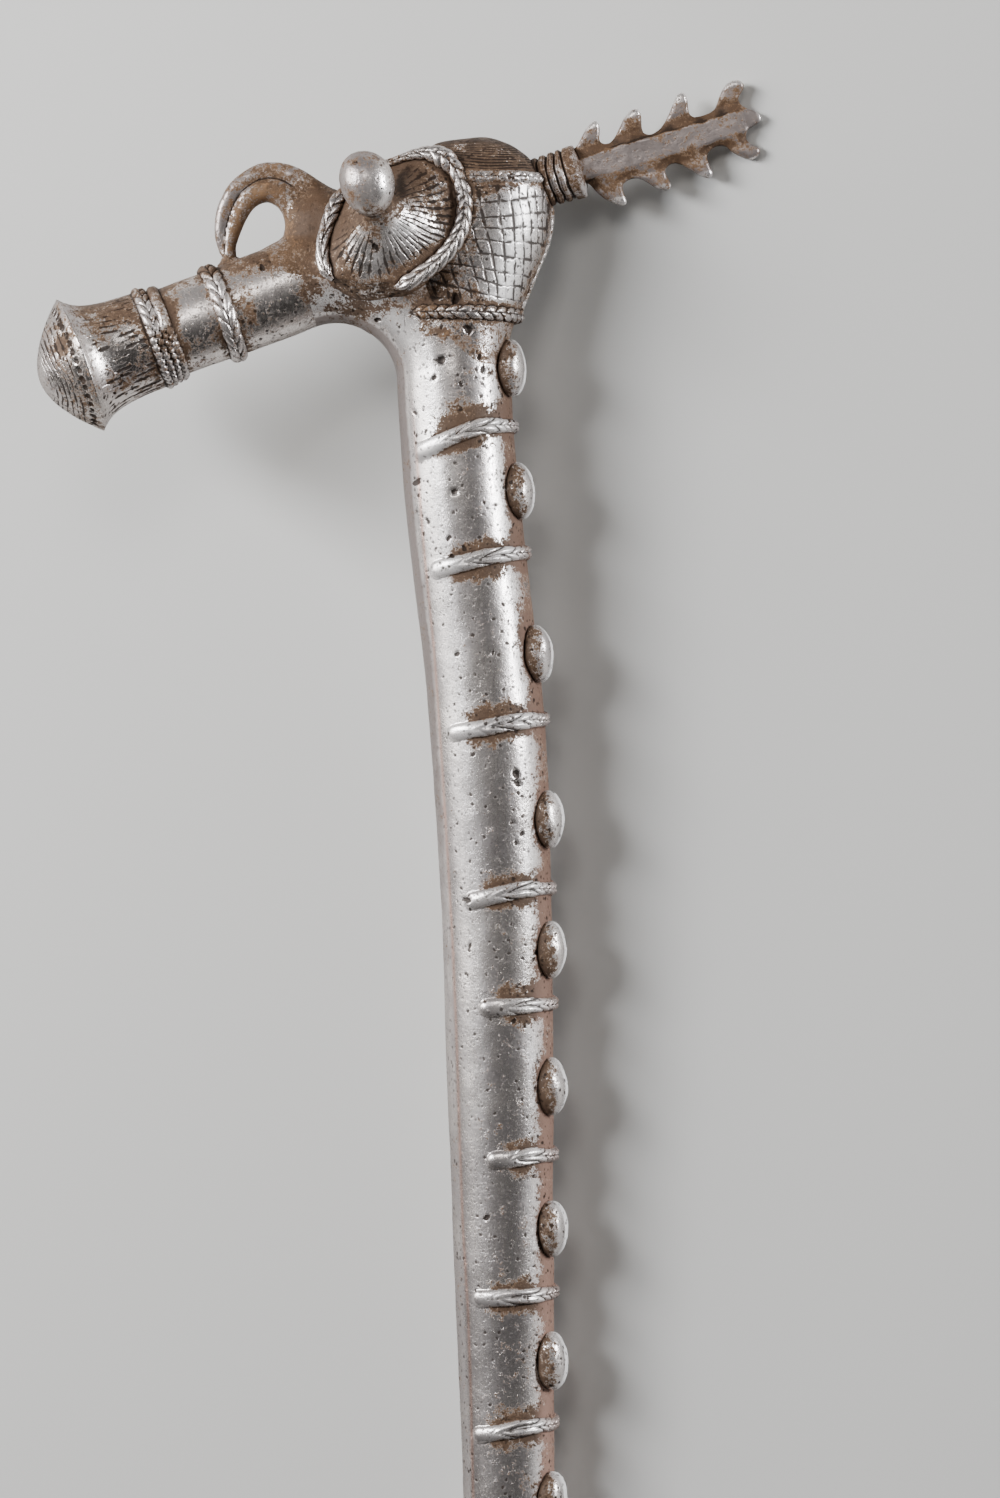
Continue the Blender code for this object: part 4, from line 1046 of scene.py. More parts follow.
def turret_skin():
    """Drum and hollow cone of the near eye, with the rays cut in it."""
    centre, lean, across, along = turret_axes()
    angles = np.radians(np.arange(0, 360, 1.15))
    degrees = np.degrees(angles)
    rim = rim_radius(angles)
    ring = around(angles, across, along)
    top = vec(*TURRET_TOP) - centre
    rise_to = float(top @ lean)
    shift = top - rise_to * lean
    shares = np.linspace(0, 1, CONE_ROWS)
    pulled = OPEN_RIM * ease(*OPEN_FROM, degrees) * ease(*OPEN_TO, degrees)
    rows = []
    for back in np.arange(TURRET_DEPTH, 0.2, -0.7):
        rows.append(centre - back * lean + (rim - pulled * math.exp(-back / 3.0))[:, None] * ring)
    cone = len(rows)
    for share in shares:
        radius = mix(rim - pulled * math.exp(-share * 8), TURRET_TOP_RADIUS, share)
        rows.append(centre + share**CONE_CURVE * rise_to * lean + share * shift + radius[:, None] * ring)
    for share, radius in EYE_NECK:
        rows.append(mix(vec(*TURRET_TOP), vec(*EYE_CENTRE), share) + radius * ring)
    skin = Skin("turret", np.array(rows), lean)
    uneven(skin, (0.8, 8.0, 41), (0.4, 2.6, 42))
    share = np.concatenate([np.zeros(cone), shares, np.ones(len(EYE_NECK))])[:, None]
    plain = ease(*PLAIN_FROM, degrees) * ease(*PLAIN_TO, degrees)
    wild = wobble(skin.points, 0.7, 6.0, 43)
    rays = ease(0.16, 0.34, share + wild * 0.25) * ease(1.0, 0.9, share) * (share > 0)
    skin.more("line_a", angles * TURRET_RAYS / math.tau + wild)
    skin.more("cut_a", rays * mix(1.0, 0.35, plain) * (0.62 + 0.36 * ease(0.9, 0.4, share)))
    skin.more("tarnish", 0.46 + 0.32 * ease(0.42, 0.18, share + wild * 0.3) + 0.3 * ease(0.8, 1.0, share))
    skin.more("tarnish", 0.22 * plain)
    stain_and_paint_light(skin)
    return skin


def frames(path, up):
    """Two directions across a path at each of its points: the one nearest to up, and the one beside it."""
    axis = unit(np.gradient(path, axis=0))
    up = unit(up - axis * np.sum(axis * up, axis=1, keepdims=True))
    return up[:, None, :], np.cross(axis, up)[:, None, :]


def rope_skin(name, path, up, sizes, pitches, slant):
    """A plaited rope along a path, with its plait towards the side that up gives."""
    facing = np.radians(np.arange(0, 360, 10.0))
    distance = run(path)
    to_end = np.minimum(distance, distance[-1] - distance)[:, None]
    sizes = sizes[:, None] * (0.35 + 0.65 * ease(0, 4.0, to_end))
    phase = np.concatenate([[0.0], np.cumsum(np.diff(distance) / pitches[1:])])
    body = sizes[..., None] * around(facing, *frames(path, up))
    skin = Skin(name, path[:, None, :] + body, body)
    side = signed(facing) / math.radians(112)
    edge = np.clip(np.abs(side), 0, 1)
    cell = phase[:, None] + slant[:, None] * edge + 0.5 * (side > 0) + wobble(skin.points, 0.35, 5.0, 47)
    swell, gap = strands(cell, side, 0.12, (0.5, 0.22), 0.25)
    skin.push(0.3 * sizes * (swell - 0.75) * ease(0, 3, to_end) * (edge < 1))
    skin.darkest("groove", gap * (edge < 1))
    skin.more("tarnish", 0.3 + 0.5 * ease(0.5, 1.0, np.abs(side)))
    skin.more("rub", 0.5 * (1 - gap))
    return skin


def ring_rope_skin():
    """The plaited rope round the near turret's rim, open at the bottom."""
    centre, lean, across, along = turret_axes()
    angles = np.linspace(*np.radians(RING_ROPE_ENDS), 900)
    path = centre + rim_radius(angles)[:, None] * around(angles, across, along)
    rows = at_even_steps(np.hstack([path, angles[:, None]]), 0.3, [0, 1, 2])
    path, degrees = rows[:, :3] + 0.5 * lean, np.degrees(rows[:, 3])
    behind = ease(62, 92, degrees) * ease(165, 135, degrees)
    long = np.maximum(0.5 * ease(-40, -70, degrees), ease(165, 185, degrees))
    sizes = mix(RING_ROPE_RADIUS, RING_ROPE_RADIUS_BEHIND, behind) * (1 + 0.35 * bump(degrees, 58, 9))
    sizes = sizes * mix(1.0, 0.86, ease(165, 185, degrees))
    skin = rope_skin("ring_rope", path, lean, sizes, mix(3.4, 6.2, long), mix(1.1, 1.7, long))
    skin.more("tarnish", 0.4 * behind[:, None] + 0.3 * bump(degrees, 165, 20)[:, None])
    return skin


def base_rope_skin(forms):
    """The plaited rope round the head's base, over whichever form stands out furthest."""
    trees = [skin_tree(form) for form in forms]
    path, up = [], []
    for turn in np.linspace(-BASE_ROPE_REACH, BASE_ROPE_REACH, 500):
        out = Vector((math.cos(turn), -math.sin(turn), 0.0))
        start = Vector((-2.0, 0.0, BASE_ROPE_HEIGHT)) + out * 60
        hits = [tree.ray_cast(start, -out)[3] for tree in trees]
        path.append(start - out * min(hit for hit in hits if hit is not None))
        up.append(out)
    path = np.array(path)
    for _ in range(12):
        path[1:-1] = (path[:-2] + 2 * path[1:-1] + path[2:]) / 4
    rows = at_even_steps(np.hstack([path, np.array(up)]), 0.32, [0, 1, 2])
    path, up = rows[:, :3] - 0.8 * rows[:, 3:], rows[:, 3:]
    even = np.ones(len(rows))
    skin = rope_skin("base_rope", path, up, BASE_ROPE_RADIUS * even, 3.3 * even, even)
    across, _ = seen_at(skin.points)
    skin.more("tarnish", 0.25 * ease(500, 430, across))
    skin.more("tan", 0.42 * ease(465, 425, across))
    return skin


def ball(name, centre, radii, step):
    """A round form of rows from pole to pole."""
    rise = np.radians(np.linspace(-89.7, 89.7, int(180 / step)))[:, None, None]
    level = around(np.radians(np.arange(0, 360, step)), vec(1, 0, 0), vec(0, 1, 0))
    out = (np.cos(rise) * level + np.sin(rise) * vec(0, 0, 1)) * vec(*radii)
    return Skin(name, vec(*centre) + out, out)


def eye_skin():
    """The polished eyeball, a little narrower and leaning at its lower end."""
    skin = ball("eye", EYE_CENTRE, EYE_RADII, 3.0)
    low = (EYE_CENTRE[2] - skin.points[..., 2]) / EYE_RADII[2]
    aside = skin.points[..., 0] - EYE_CENTRE[0]
    skin.points[..., 0] = EYE_CENTRE[0] + aside * (1 - 0.07 * low) + EYE_LEAN * low
    uneven(skin, (0.35, 7.0, 51))
    skin.more("tarnish", 0.2 + 0.4 * ease(0.5, 1.0, low))
    skin.more("tan", 0.22)
    # Dull all over, except for the two painted highlights that the stains open
    skin.more("dull", 0.6)
    stain_and_paint_light(skin)
    return skin


def tube(name, path, radii, step):
    """A round skin along a path."""
    body = radii[:, None, None] * around(np.radians(np.arange(0, 360, step)), *frames(path, vec(0.3, 1, 0.2)))
    return Skin(name, path[:, None, :] + body, body)


def crest_place():
    """Matrix from the crest's own line to the club."""
    root = Matrix.Translation((CREST_ROOT[0], 0.0, CREST_ROOT[1]))
    return root @ Matrix.Rotation(-CREST_RISE, 4, "Y")


def new_object(name, data):
    """An object in the scene that shows the data."""
    made = bpy.data.objects.new(name, data)
    bpy.context.scene.collection.objects.link(made)
    return made


def placed(points, matrix):
    """Points moved by a matrix."""
    matrix = np.array(matrix)
    return points @ matrix[:3, :3].T + matrix[:3, 3]


def wrap_skin():
    """The wrapping round the crest's neck, with a broader last turn."""
    along = np.linspace(-WRAP_OVER, WRAP_LENGTH + WRAP_OVER, 78)
    angles = np.radians(np.arange(0, 360, 2.6))
    to_end = np.minimum(along + WRAP_OVER, WRAP_LENGTH + WRAP_OVER - along)
    radii = mix(*WRAP_RADII, along / WRAP_LENGTH) * np.clip(0.55 + 0.45 * to_end / 0.8, 0, 1)
    radii = np.concatenate([[0.05], radii, [0.05]])[:, None]
    along = np.concatenate([along[:1], along, along[-1:]])[:, None]
    y = radii * np.cos(angles)
    points = placed(np.stack([along + 0.15 * y, y, radii * np.sin(angles)], axis=-1), crest_place())
    skin = Skin("crest_wrap", points, points - points.mean(axis=1, keepdims=True))
    drift = wobble(skin.points, 0.5, 4.0, 71)
    coil = along / WRAP_LENGTH * WRAP_TURNS + drift + angles / math.tau
    collar = along + 0.8 * drift - WRAP_LENGTH + WRAP_COLLAR
    gap = bump(coil - np.round(coil), 0, 0.17) * ease(0.0, -0.6, collar)
    gap = np.maximum(gap, bump(collar, 0.0, 0.36))
    skin.push(0.25 - WRAP_GROOVE * gap)
    skin.darkest("groove", gap)
    skin.more("line_a", coil * 3)
    skin.more("cut_a", 0.6 * ease(0.4, 0.0, collar))
    skin.more("rub", 1.6 * ease(2.2, 3.0, collar))
    skin.more("tarnish", 0.66 + 0.3 * lattice_noise(skin.points, 5.0, 72))
    skin.more("dull", 0.6)
    stain_and_paint_light(skin)
    return skin


def blade_outline():
    """The blade's edge on the crest's own line."""
    rows = smooth_rows(BLADE_EDGE, 3)
    x, z = from_photo(rows[:, 0], rows[:, 1])
    flat = placed(np.stack([x, 0 * x, z], axis=1), crest_place().inverted())[:, [0, 2]]
    root = WRAP_LENGTH - 4
    return np.vstack([[(root, BLADE_ROOT_HALF)], flat, [(root, -BLADE_ROOT_HALF)]])


class Shells:
    """Closed shells that are cast together: they are joined and remeshed to one skin."""

    def __init__(self):
        self.corners = []
        self.faces = []
        self.count = 0

    def grid(self, points):
        """Adds a shell that closes round its columns and at both ends."""
        rows, columns = points.shape[:2]
        number = np.arange(rows * columns).reshape(rows, columns) + self.count
        self.faces += (grid_faces(rows, columns, -1) + self.count).tolist()
        self.faces += [number[0][::-1].tolist(), number[-1].tolist()]
        self.corners.append(points.reshape(-1, 3))
        self.count += rows * columns

    def prism(self, outline, half):
        """A flat plate in the x-z plane, with its thickness along y."""
        x, z = outline.T
        self.grid(np.array([np.stack([x, 0 * x + y, z], axis=-1) for y in (-half, half)]))

    def cast(self, name, voxel, smoothing):
        """One skin round all the shells."""
        mesh = bpy.data.meshes.new(name)
        mesh.from_pydata(np.vstack(self.corners).tolist(), [], self.faces)
        made = new_object(name, mesh)
        remesh = made.modifiers.new("cast", "REMESH")
        remesh.mode = "VOXEL"
        remesh.voxel_size = voxel
        soften = made.modifiers.new("soften", "SMOOTH")
        soften.iterations = smoothing
        soften.factor = 0.5
        seen = made.evaluated_get(bpy.context.evaluated_depsgraph_get())
        mesh = bpy.data.meshes.new_from_object(seen)
        bpy.data.objects.remove(made, do_unlink=True)
        return Cast(name, mesh)


class Cast(Skin):
    """A remeshed skin: it takes the same marks as a gridded one."""

    def __init__(self, name, mesh):
        self.name = name
        self.mesh = mesh
        self.normals = None
        flat = np.empty(3 * len(mesh.vertices))
        mesh.vertices.foreach_get("co", flat)
        self.points = flat.reshape(-1, 3)
        self.marks = {mark: np.zeros(len(self.points)) for mark in MARKS}

    def facing(self):
        """The skin's normals."""
        self.mesh.vertices.foreach_set("co", self.points.ravel())
        self.mesh.update()
        return np.array([corner.normal for corner in self.mesh.vertices])

    def soften(self, share, rounds):
        """Smooths the skin, by a share of each corner's step."""
        ends = np.empty(2 * len(self.mesh.edges), np.int32)
        self.mesh.edges.foreach_get("vertices", ends)
        first, second = ends.reshape(-1, 2).T
        count = len(self.points)
        beside = np.bincount(ends, minlength=count)[:, None]
        for _ in range(rounds):
            total = [
                np.bincount(first, column[second], count) + np.bincount(second, column[first], count)
                for column in self.points.T
            ]
            middle = np.stack(total, axis=1) / beside
            self.points = self.points + 0.5 * share[:, None] * (middle - self.points)


def horn_cast():
    """The looped horn of two strands and the forehead that it springs from."""
    shells = Shells()
    for strand in (OUTER_STRAND, INNER_STRAND):
        rows = at_even_steps(smooth_rows([(x, 0.0, z, radius) for x, z, radius in strand], 12), 0.8, [0, 2])
        shells.grid(tube("strand", rows[:, :3], rows[:, 3], 12.0).points)
    shells.grid(ball("forehead", FOREHEAD_CENTRE, FOREHEAD_RADII, 9.0).points)
    share = np.linspace(HORN_ROOT_FROM, 1.0, 18)
    bend = np.stack([mix(BEND_START, math.pi / 2 + MUZZLE_DROOP, share), mix(*BEND_REACH, share)], axis=1)
    backs = np.linspace(MUZZLE_LENGTH - 1, HORN_ROOT_TO, 40)
    path = np.vstack([[bend_point(*place) for place in bend], muzzle_point(backs)])
    radii = np.concatenate([mix(SHAFT_RADIUS, MUZZLE_RADIUS, share), 0 * backs + MUZZLE_RADIUS])
    lift = ease(-57, -45, path[:, 0]) * ease(-14, -24, path[:, 0])
    path[:, 2] += mix(-0.2, 1.0, lift)
    shells.grid(tube("under", path, radii + mix(-0.9, 0.2, lift), 9.0).points)
    skin = shells.cast("horn", HORN_VOXEL, 20)
    to_line = np.min(np.linalg.norm(skin.points[:, None, :] - path[None, ::3, :], axis=2), axis=1)
    saddle = ease(8.0, 2.5, np.abs(to_line - MUZZLE_RADIUS - 1.5)) * ease(-56, -50, skin.points[:, 0])
    brow = ease(17.0, 10.0, np.linalg.norm(skin.points - FOREHEAD_CENTRE, axis=1))
    skin.soften(np.maximum(saddle, 0.8 * brow), 150)
    uneven(skin, (0.5, 6.0, 81), (0.2, 2.4, 82))
    outer, inner = (strand_distance(skin.points, strand) for strand in (OUTER_STRAND, INNER_STRAND))
    x = skin.points[:, 0]
    between = bump(outer - inner, 0, 0.2) * (np.minimum(outer, inner) < 1.2) * ease(*STRANDS_PART, x)
    skin.push(-0.4 * between)
    skin.darkest("groove", between)
    loop = ease(*LOOP_STARTS, x)
    hidden = (inner < 1.05) * (outer > 1.35) * loop
    outside = bump(outer - inner, -0.42, 0.16) * loop
    skin.more("tarnish", 0.49 + 0.24 * (1 - loop) + 0.22 * hidden)
    skin.more("tan", 0.3 + 0.2 * hidden)
    # Painted highlight: the outer strand is less dull low down, where its highlight shows
    skin.more("dull", 0.66 - 0.4 * outside * ease(215, 240, seen_at(skin.points)[1]))
    stain_and_paint_light(skin)
    return skin


def strand_distance(points, strand):
    """Distance of each point from a strand's middle, seen from the side, in radii of the strand."""
    x, z, radius = smooth_rows(strand, 10).T
    return np.min(np.hypot(points[:, :1] - x, points[:, 2:] - z) / radius, axis=1)


def outline_distance(points, outline):
    """Distance of flat points from the blade's edge."""
    least = np.full(len(points), np.inf)
    for start, end in zip(outline, np.roll(outline, -1, axis=0)):
        side = end - start
        share = np.clip(((points - start) @ side) / max(side @ side, 1e-9), 0, 1)
        least = np.minimum(least, np.linalg.norm(points - start - share[:, None] * side, axis=1))
    return least


def blade_cast():
    """The toothed blade: a flat-topped stem, with a bevel down to the edge between rounded teeth."""
    shells = Shells()
    outline = blade_outline()
    shells.prism(outline, BLADE_HALF)
    skin = shells.cast("crest_blade", BLADE_VOXEL, 2)
    flat = skin.points[:, [0, 2]]
    inside = outline_distance(flat, outline)
    along, away = flat[:, 0], np.abs(flat[:, 1])
    out = np.maximum(ease(*TEETH_BESIDE, away), ease(*TEETH_AT_END, along))
    beyond = np.clip(away - STEM_HALF + wobble(skin.points, 0.9, 2.6, 94), 0, None)
    slope = np.clip(inside / np.maximum(inside + beyond, 1e-6) * 1.15, 0, 1)
    finger = 0.66 * np.sqrt(1 - (1 - np.clip(inside / 0.9, 0, 1)) ** 2) * out
    thick = mix(BLADE_EDGE_HALF, BLADE_HALF, np.maximum(slope * (1 - 0.3 * out), finger))
    skin.points[:, 1] *= thick / BLADE_HALF
    skin.soften(0.7 * out, 8)
    stem = ease(0.9, 0.2, beyond)
    lower = flat[:, 1] < 0
    valley = (1 - stem) * (1 - out) * np.where(lower, 0.9 * ease(2.7, 1.6, inside), 1.0)
    tip = ease(*TIPS_BESIDE, away) + ease(*TIPS_AT_END, along)
    skin.more("tarnish", 0.5 + 0.8 * valley - 0.26 * stem - 0.1 * tip)
    skin.more("tan", 0.3 + 0.2 * bump(beyond, 0.5, 0.35) + 0.06 * valley - 0.24 * stem)
    skin.more("dull", 0.8 - 0.7 * tip)
    skin.more("rub", tip)
    skin.darkest("groove", 0.35 * bump(beyond, 0.75, 0.3) * (1 - out))
    skin.more("groove", 0.85 * valley * lattice_noise(skin.points, 3.0, 93))
    skin.points = placed(skin.points, crest_place())
    stain_and_paint_light(skin)
    uneven(skin, (0.3, 5.0, 91), (0.12, 1.8, 92))
    return skin


def skin_tree(skin):
    """A search tree over a skin, thinned where it is a grid."""
    if isinstance(skin, Cast):
        faces = [tuple(face.vertices) for face in skin.mesh.polygons]
        return BVHTree.FromPolygons(skin.points.tolist(), faces)
    points = skin.points[::2, ::2]
    quads = grid_faces(*points.shape[:2], skin.outward)
    return BVHTree.FromPolygons(points.reshape(-1, 3).tolist(), quads.tolist())


def meetings(skins, reach):
    """Each skin with each other one: how near every corner is, from 0 at the reach to 1 where they touch, and
    which way the other skin faces there."""
    trees = [skin_tree(skin) for skin in skins]
    corners = [skin.points.reshape(-1, 3) for skin in skins]
    for skin, points in zip(skins, corners):
        for other, tree, others in zip(skins, trees, corners):
            if other is skin:
                continue
            near = np.zeros(len(points))
            facing = np.zeros(points.shape)
            low, high = others.min(axis=0) - reach, others.max(axis=0) + reach
            for index in np.nonzero(np.all((points > low) & (points < high), axis=1))[0]:
                place, normal, _, distance = tree.find_nearest(points[index], reach)
                if place is not None:
                    near[index] = 1 - distance / reach
                    facing[index] = normal
            shape = skin.points.shape
            yield skin, other, near.reshape(shape[:-1]), facing.reshape(shape)


def blend_corners(skins, reach):
    """Rounds the inner corners where the large forms of the casting meet."""
    pushes = {skin.name: 0.0 for skin in skins}
    normals = {skin.name: skin.facing() for skin in skins}
    for skin, _, near, facing in meetings(skins, reach):
        corner = 1 - np.sum(normals[skin.name] * facing, axis=-1)
        push = reach / 4 * near**2 * ease(0.12, 0.6, corner)
        pushes[skin.name] = np.maximum(pushes[skin.name], push)
    for skin in skins:
        skin.push(pushes[skin.name])


def mark_creases(skins, reach):
    """Darkens the creases where one form meets another, most of all beside the small forms."""
    for skin, other, near, _ in meetings(skins, reach):
        names = (skin.name, other.name)
        if any(name.startswith(FINE_FORMS) for name in names):
            strength = 0.62 if any(name.startswith("boss") for name in names) else 0.9
            skin.darkest("groove", strength * ease(0.45, 1.0, near))
            skin.more("tarnish", 0.35 * ease(0.0, 0.6, near))
        else:
            skin.more("tarnish", 0.2 * ease(0.0, 0.8, near))


def to_world():
    """Matrix from the standing club in millimetres to where the solid lies."""
    turn = Euler([math.radians(angle) for angle in LIE_TURN]).to_matrix().to_4x4()
    lie = Matrix.Translation(HEAD_BASE_LIES_AT) @ turn @ Matrix.Rotation(-math.pi / 2, 4, "X")
    return lie @ Matrix.Scale(MILLIMETRE, 4)


def grid_faces(rows, columns, outward):
    """The quads of a grid that closes round its second direction, facing out."""
    number = np.arange(rows * columns).reshape(rows, columns)
    after = np.roll(number, -1, axis=1)
    quads = np.stack([number[:-1], after[:-1], after[1:], number[1:]], axis=-1).reshape(-1, 4)
    return quads[:, ::-1] if outward > 0 else quads


def grid_mesh(skin):
    """A mesh of a gridded skin."""
    quads = grid_faces(*skin.points.shape[:2], skin.outward)
    mesh = bpy.data.meshes.new(skin.name)
    mesh.vertices.add(skin.points.size // 3)
    mesh.vertices.foreach_set("co", skin.points.ravel())
    mesh.loops.add(quads.size)
    mesh.loops.foreach_set("vertex_index", quads.ravel())
    mesh.polygons.add(len(quads))
    mesh.polygons.foreach_set("loop_start", np.arange(0, quads.size, 4))
    mesh.update(calc_edges=True)
    mesh.validate()
    return mesh


def cast_piece(skin, material):
    """The Blender object of a skin, laid down where the solid lies."""
    if isinstance(skin, Cast):
        mesh = skin.mesh
        mesh.vertices.foreach_set("co", skin.points.ravel())
        mesh.name = skin.name
    else:
        mesh = grid_mesh(skin)
    for mark, values in skin.marks.items():
        layer = mesh.attributes.new(mark, "FLOAT", "POINT")
        layer.data.foreach_set("value", values.astype(np.float32).ravel())
    mesh.polygons.foreach_set("use_smooth", np.ones(len(mesh.polygons), bool))
    if skin.normals is not None:
        mesh.normals_split_custom_set_from_vertices(skin.normals.reshape(-1, 3).tolist())
    mesh.transform(to_world())
    mesh.update()
    mesh.materials.clear()
    mesh.materials.append(material)
    made = new_object(skin.name, mesh)
    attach(made, "root")
    return made


class Value:
    """A shader socket that takes part in plain arithmetic."""

    def __init__(self, finish, socket):
        self.finish = finish
        self.socket = socket

    def math(self, operation, *values):
        return self.finish.node("ShaderNodeMath", {"operation": operation}, *values)

    def __add__(self, other):
        return self.math("ADD", self, other)

    __radd__ = __add__

    def __sub__(self, other):
        return self.math("SUBTRACT", self, other)

    def __rsub__(self, other):
        return self.math("SUBTRACT", other, self)

    def __mul__(self, other):
        return self.math("MULTIPLY", self, other)

    __rmul__ = __mul__

    def __truediv__(self, other):
        return self.math("DIVIDE", self, other)

    def top(self, other):
        return self.math("MAXIMUM", self, other)

    def ramp(self, low, high):
        """0 below low, 1 above high, smooth between."""
        settings = {"interpolation_type": "SMOOTHSTEP"}
        return self.finish.node("ShaderNodeMapRange", settings, self, low, high, 0.0, 1.0)


class Finish:
    """A material under construction."""

    def __init__(self, name):
        self.material = bpy.data.materials.new(name)
        self.material.use_nodes = True
        self.nodes = self.material.node_tree.nodes
        self.links = self.material.node_tree.links
        self.surface = self.nodes["Principled BSDF"]

    def node(self, kind, settings=None, *values, output=0, **named):
        """Adds a node: its settings first, then the values or links of its sockets."""
        made = self.nodes.new(kind)
        for setting, value in (settings or {}).items():
            setattr(made, setting, value)
        for key, value in (*enumerate(values), *named.items()):
            self.plug(made.inputs[key], value)
        return Value(self, made.outputs[output])

    def plug(self, socket, value):
        """Links a value to a socket, or sets the socket to a number or a colour."""
        if isinstance(value, Value):
            self.links.new(value.socket, socket)
        elif value is not None:
            socket.default_value = value

    def vector(self, operation, *values):
        return self.node("ShaderNodeVectorMath", {"operation": operation}, *values)

    def warped(self, place, scale, reach):
        """The place moved about by noise, so that what is drawn there is uneven."""
        drift = self.node("ShaderNodeTexNoise", Vector=place, Scale=scale, Detail=2.0, output=1)
        drift = self.vector("SUBTRACT", drift, (0.5, 0.5, 0.5))
        return self.vector("MULTIPLY_ADD", drift, (reach, reach, reach), place)

    def mark(self, name):
        """What the skin says of itself under that name."""
        return self.node("ShaderNodeAttribute", {"attribute_name": name}, output=2)

    def noise(self, place, scale, detail=2.0, rough=0.5):
        return self.node("ShaderNodeTexNoise", Vector=place, Scale=scale, Detail=detail, Roughness=rough)

    def colour(self, amount, first, second):
        """Mixes two colours. The five sockets skipped are those that mix numbers and vectors."""
        skipped = [None] * 5
        return self.node("ShaderNodeMix", {"data_type": "RGBA"}, amount, *skipped, first, second, output=2)

    def feed(self, socket, value):
        """Gives a value to a socket of the surface."""
        self.plug(self.surface.inputs[socket], value)


def cut_line(finish, place, line, cut):
    """Depth of the cut lines, one at each whole number of the line mark. The cut mark sets their size."""
    wavy = finish.mark(line) + (finish.noise(place, 240.0, 3.0) - 0.5) * 0.3
    apart = finish.node("ShaderNodeMath", {"operation": "PINGPONG"}, wavy, 0.5)
    pressed = finish.mark(cut) * (0.4 + finish.noise(place, 380.0, 2.0).ramp(0.34, 0.58) * 0.75)
    return (pressed - apart / CUT_WIDTH).top(0.0)


def spots(finish, place, scale, size, chance, low, high):
    """Small round pits, in the places where the chance is high."""
    cells = finish.node("ShaderNodeTexVoronoi", {"feature": "F1"}, Vector=place, Scale=scale)
    return (1 - cells.ramp(size * 0.6, size * 1.2)) * chance.ramp(low, high)


def metal():
    """White metal: rubbed bright on the high places, with a brown film and dirt in the recesses. Its marks
    also bring in painted highlights, painted shade and shadow, and a painted warm reflection.
    """
    finish = Finish("cast_white_metal")
    plain = finish.node("ShaderNodeTexCoord", output=3)
    place = finish.warped(plain, 900.0, 0.0011)
    names = ("tarnish", "groove", "tan", "rose", "dull", "rub", "pit")
    tarnish, groove, tan, rose, dull, rub, pit = (finish.mark(name) for name in names)
    drawn = finish.vector("MULTIPLY", plain, STREAK_STRETCH)
    streak = finish.noise(drawn, *STREAKS) - 0.5
    kinds = (CLOUDS, PATCHES, GRAINS, FINE_GRAINS)
    cloud, patch, grain, fine = (finish.noise(place, *kind) - 0.5 for kind in kinds)
    lines = cut_line(finish, place, "line_a", "cut_a").top(cut_line(finish, place, "line_b", "cut_b"))

    hole = (pit + patch * 0.9 + grain * 1.1).ramp(0.36, 0.46)
    small = spots(finish, place, 400.0, 0.24, finish.noise(plain, 190.0), 0.42, 0.5)
    specks = spots(finish, place, 640.0, 0.27, finish.noise(plain, 105.0, 3.0), 0.34, 0.48)
    holes = hole.top(small.top(specks * 0.8) * (1 - dull * 0.9).top(0.0))

    film_and_shade = (tarnish + patch * 1.5 + grain * 2.1 + fine * 1.6 - rub * 0.14).ramp(0.36, 0.68)
    dark_film_and_shade = (tarnish + patch * 1.2 + grain * 2.6 + fine * 1.8).ramp(0.5, 1.1)
    recess_and_shadow = (groove + grain * 0.7).ramp(0.36, 0.8)
    dirt_and_shadow = recess_and_shadow.top(lines.ramp(0.05, 0.5)).top(holes)
    warm = (tan + patch * 1.0 + grain * 1.6 + fine * 0.8).ramp(0.42, 0.9)

    # The bright silver paints highlights as well as rubbed metal, and the film, dull and dirt colours paint
    # shade and shadow as well as patina and dirt
    bare_and_painted_light = finish.colour((cloud + patch * 0.7 + streak * 0.7).ramp(-0.18, 0.18), SILVER, SILVER_COOL)
    bare_and_painted_light = finish.colour((rub * 0.25).ramp(0.0, 1.0), bare_and_painted_light, SILVER_BRIGHT_AND_HIGHLIGHT)
    bare_and_painted_light = finish.colour((dull + patch * 0.5 + grain * 0.2).ramp(0.25, 0.8), bare_and_painted_light, DULL_AND_SHADE)
    brown = finish.colour(dark_film_and_shade, FILM_AND_SHADE, FILM_DARK_AND_SHADE)
    colour = finish.colour(film_and_shade * 0.97, bare_and_painted_light, brown)
    colour = finish.colour(warm * 0.75, colour, TAN)
    colour = finish.colour(rose * 0.7, colour, ROSE_AND_REFLECTION)
    colour = finish.colour(dirt_and_shadow * 0.92, colour, DIRT_AND_SHADOW)
    finish.feed("Base Color", colour)
    much = (rub - 2.0).top(0.0)
    bareness = 1 - film_and_shade * 0.86 - dirt_and_shadow * 0.3 - rub * 0.2 + much * 0.1 - dull * 0.5
    finish.feed("Metallic", bareness.top(0.0))
    finish.feed("Coat Weight", film_and_shade * 0.16)
    finish.feed("Coat Roughness", 0.62)
    finish.feed("Specular Tint", EDGE_TINT)
    finish.feed("Specular IOR Level", 0.12)
    rough = 0.28 + streak * 0.14 + patch * 0.16 + fine * 0.12 + film_and_shade * 0.2 + dirt_and_shadow * 0.22
    finish.feed("Roughness", rough + dull * 0.06 + much * 0.07)

    height = 0 - lines * 0.34 - hole * 0.16 - small * 0.08 - specks * 0.03 - recess_and_shadow * 0.15
    height = height + patch * 0.1 + grain * (0.11 + film_and_shade * 0.42) + fine * 0.05
    finish.feed("Normal", finish.node("ShaderNodeBump", Strength=1.0, Distance=BUMP_HEIGHT, Height=height))
    return finish.material


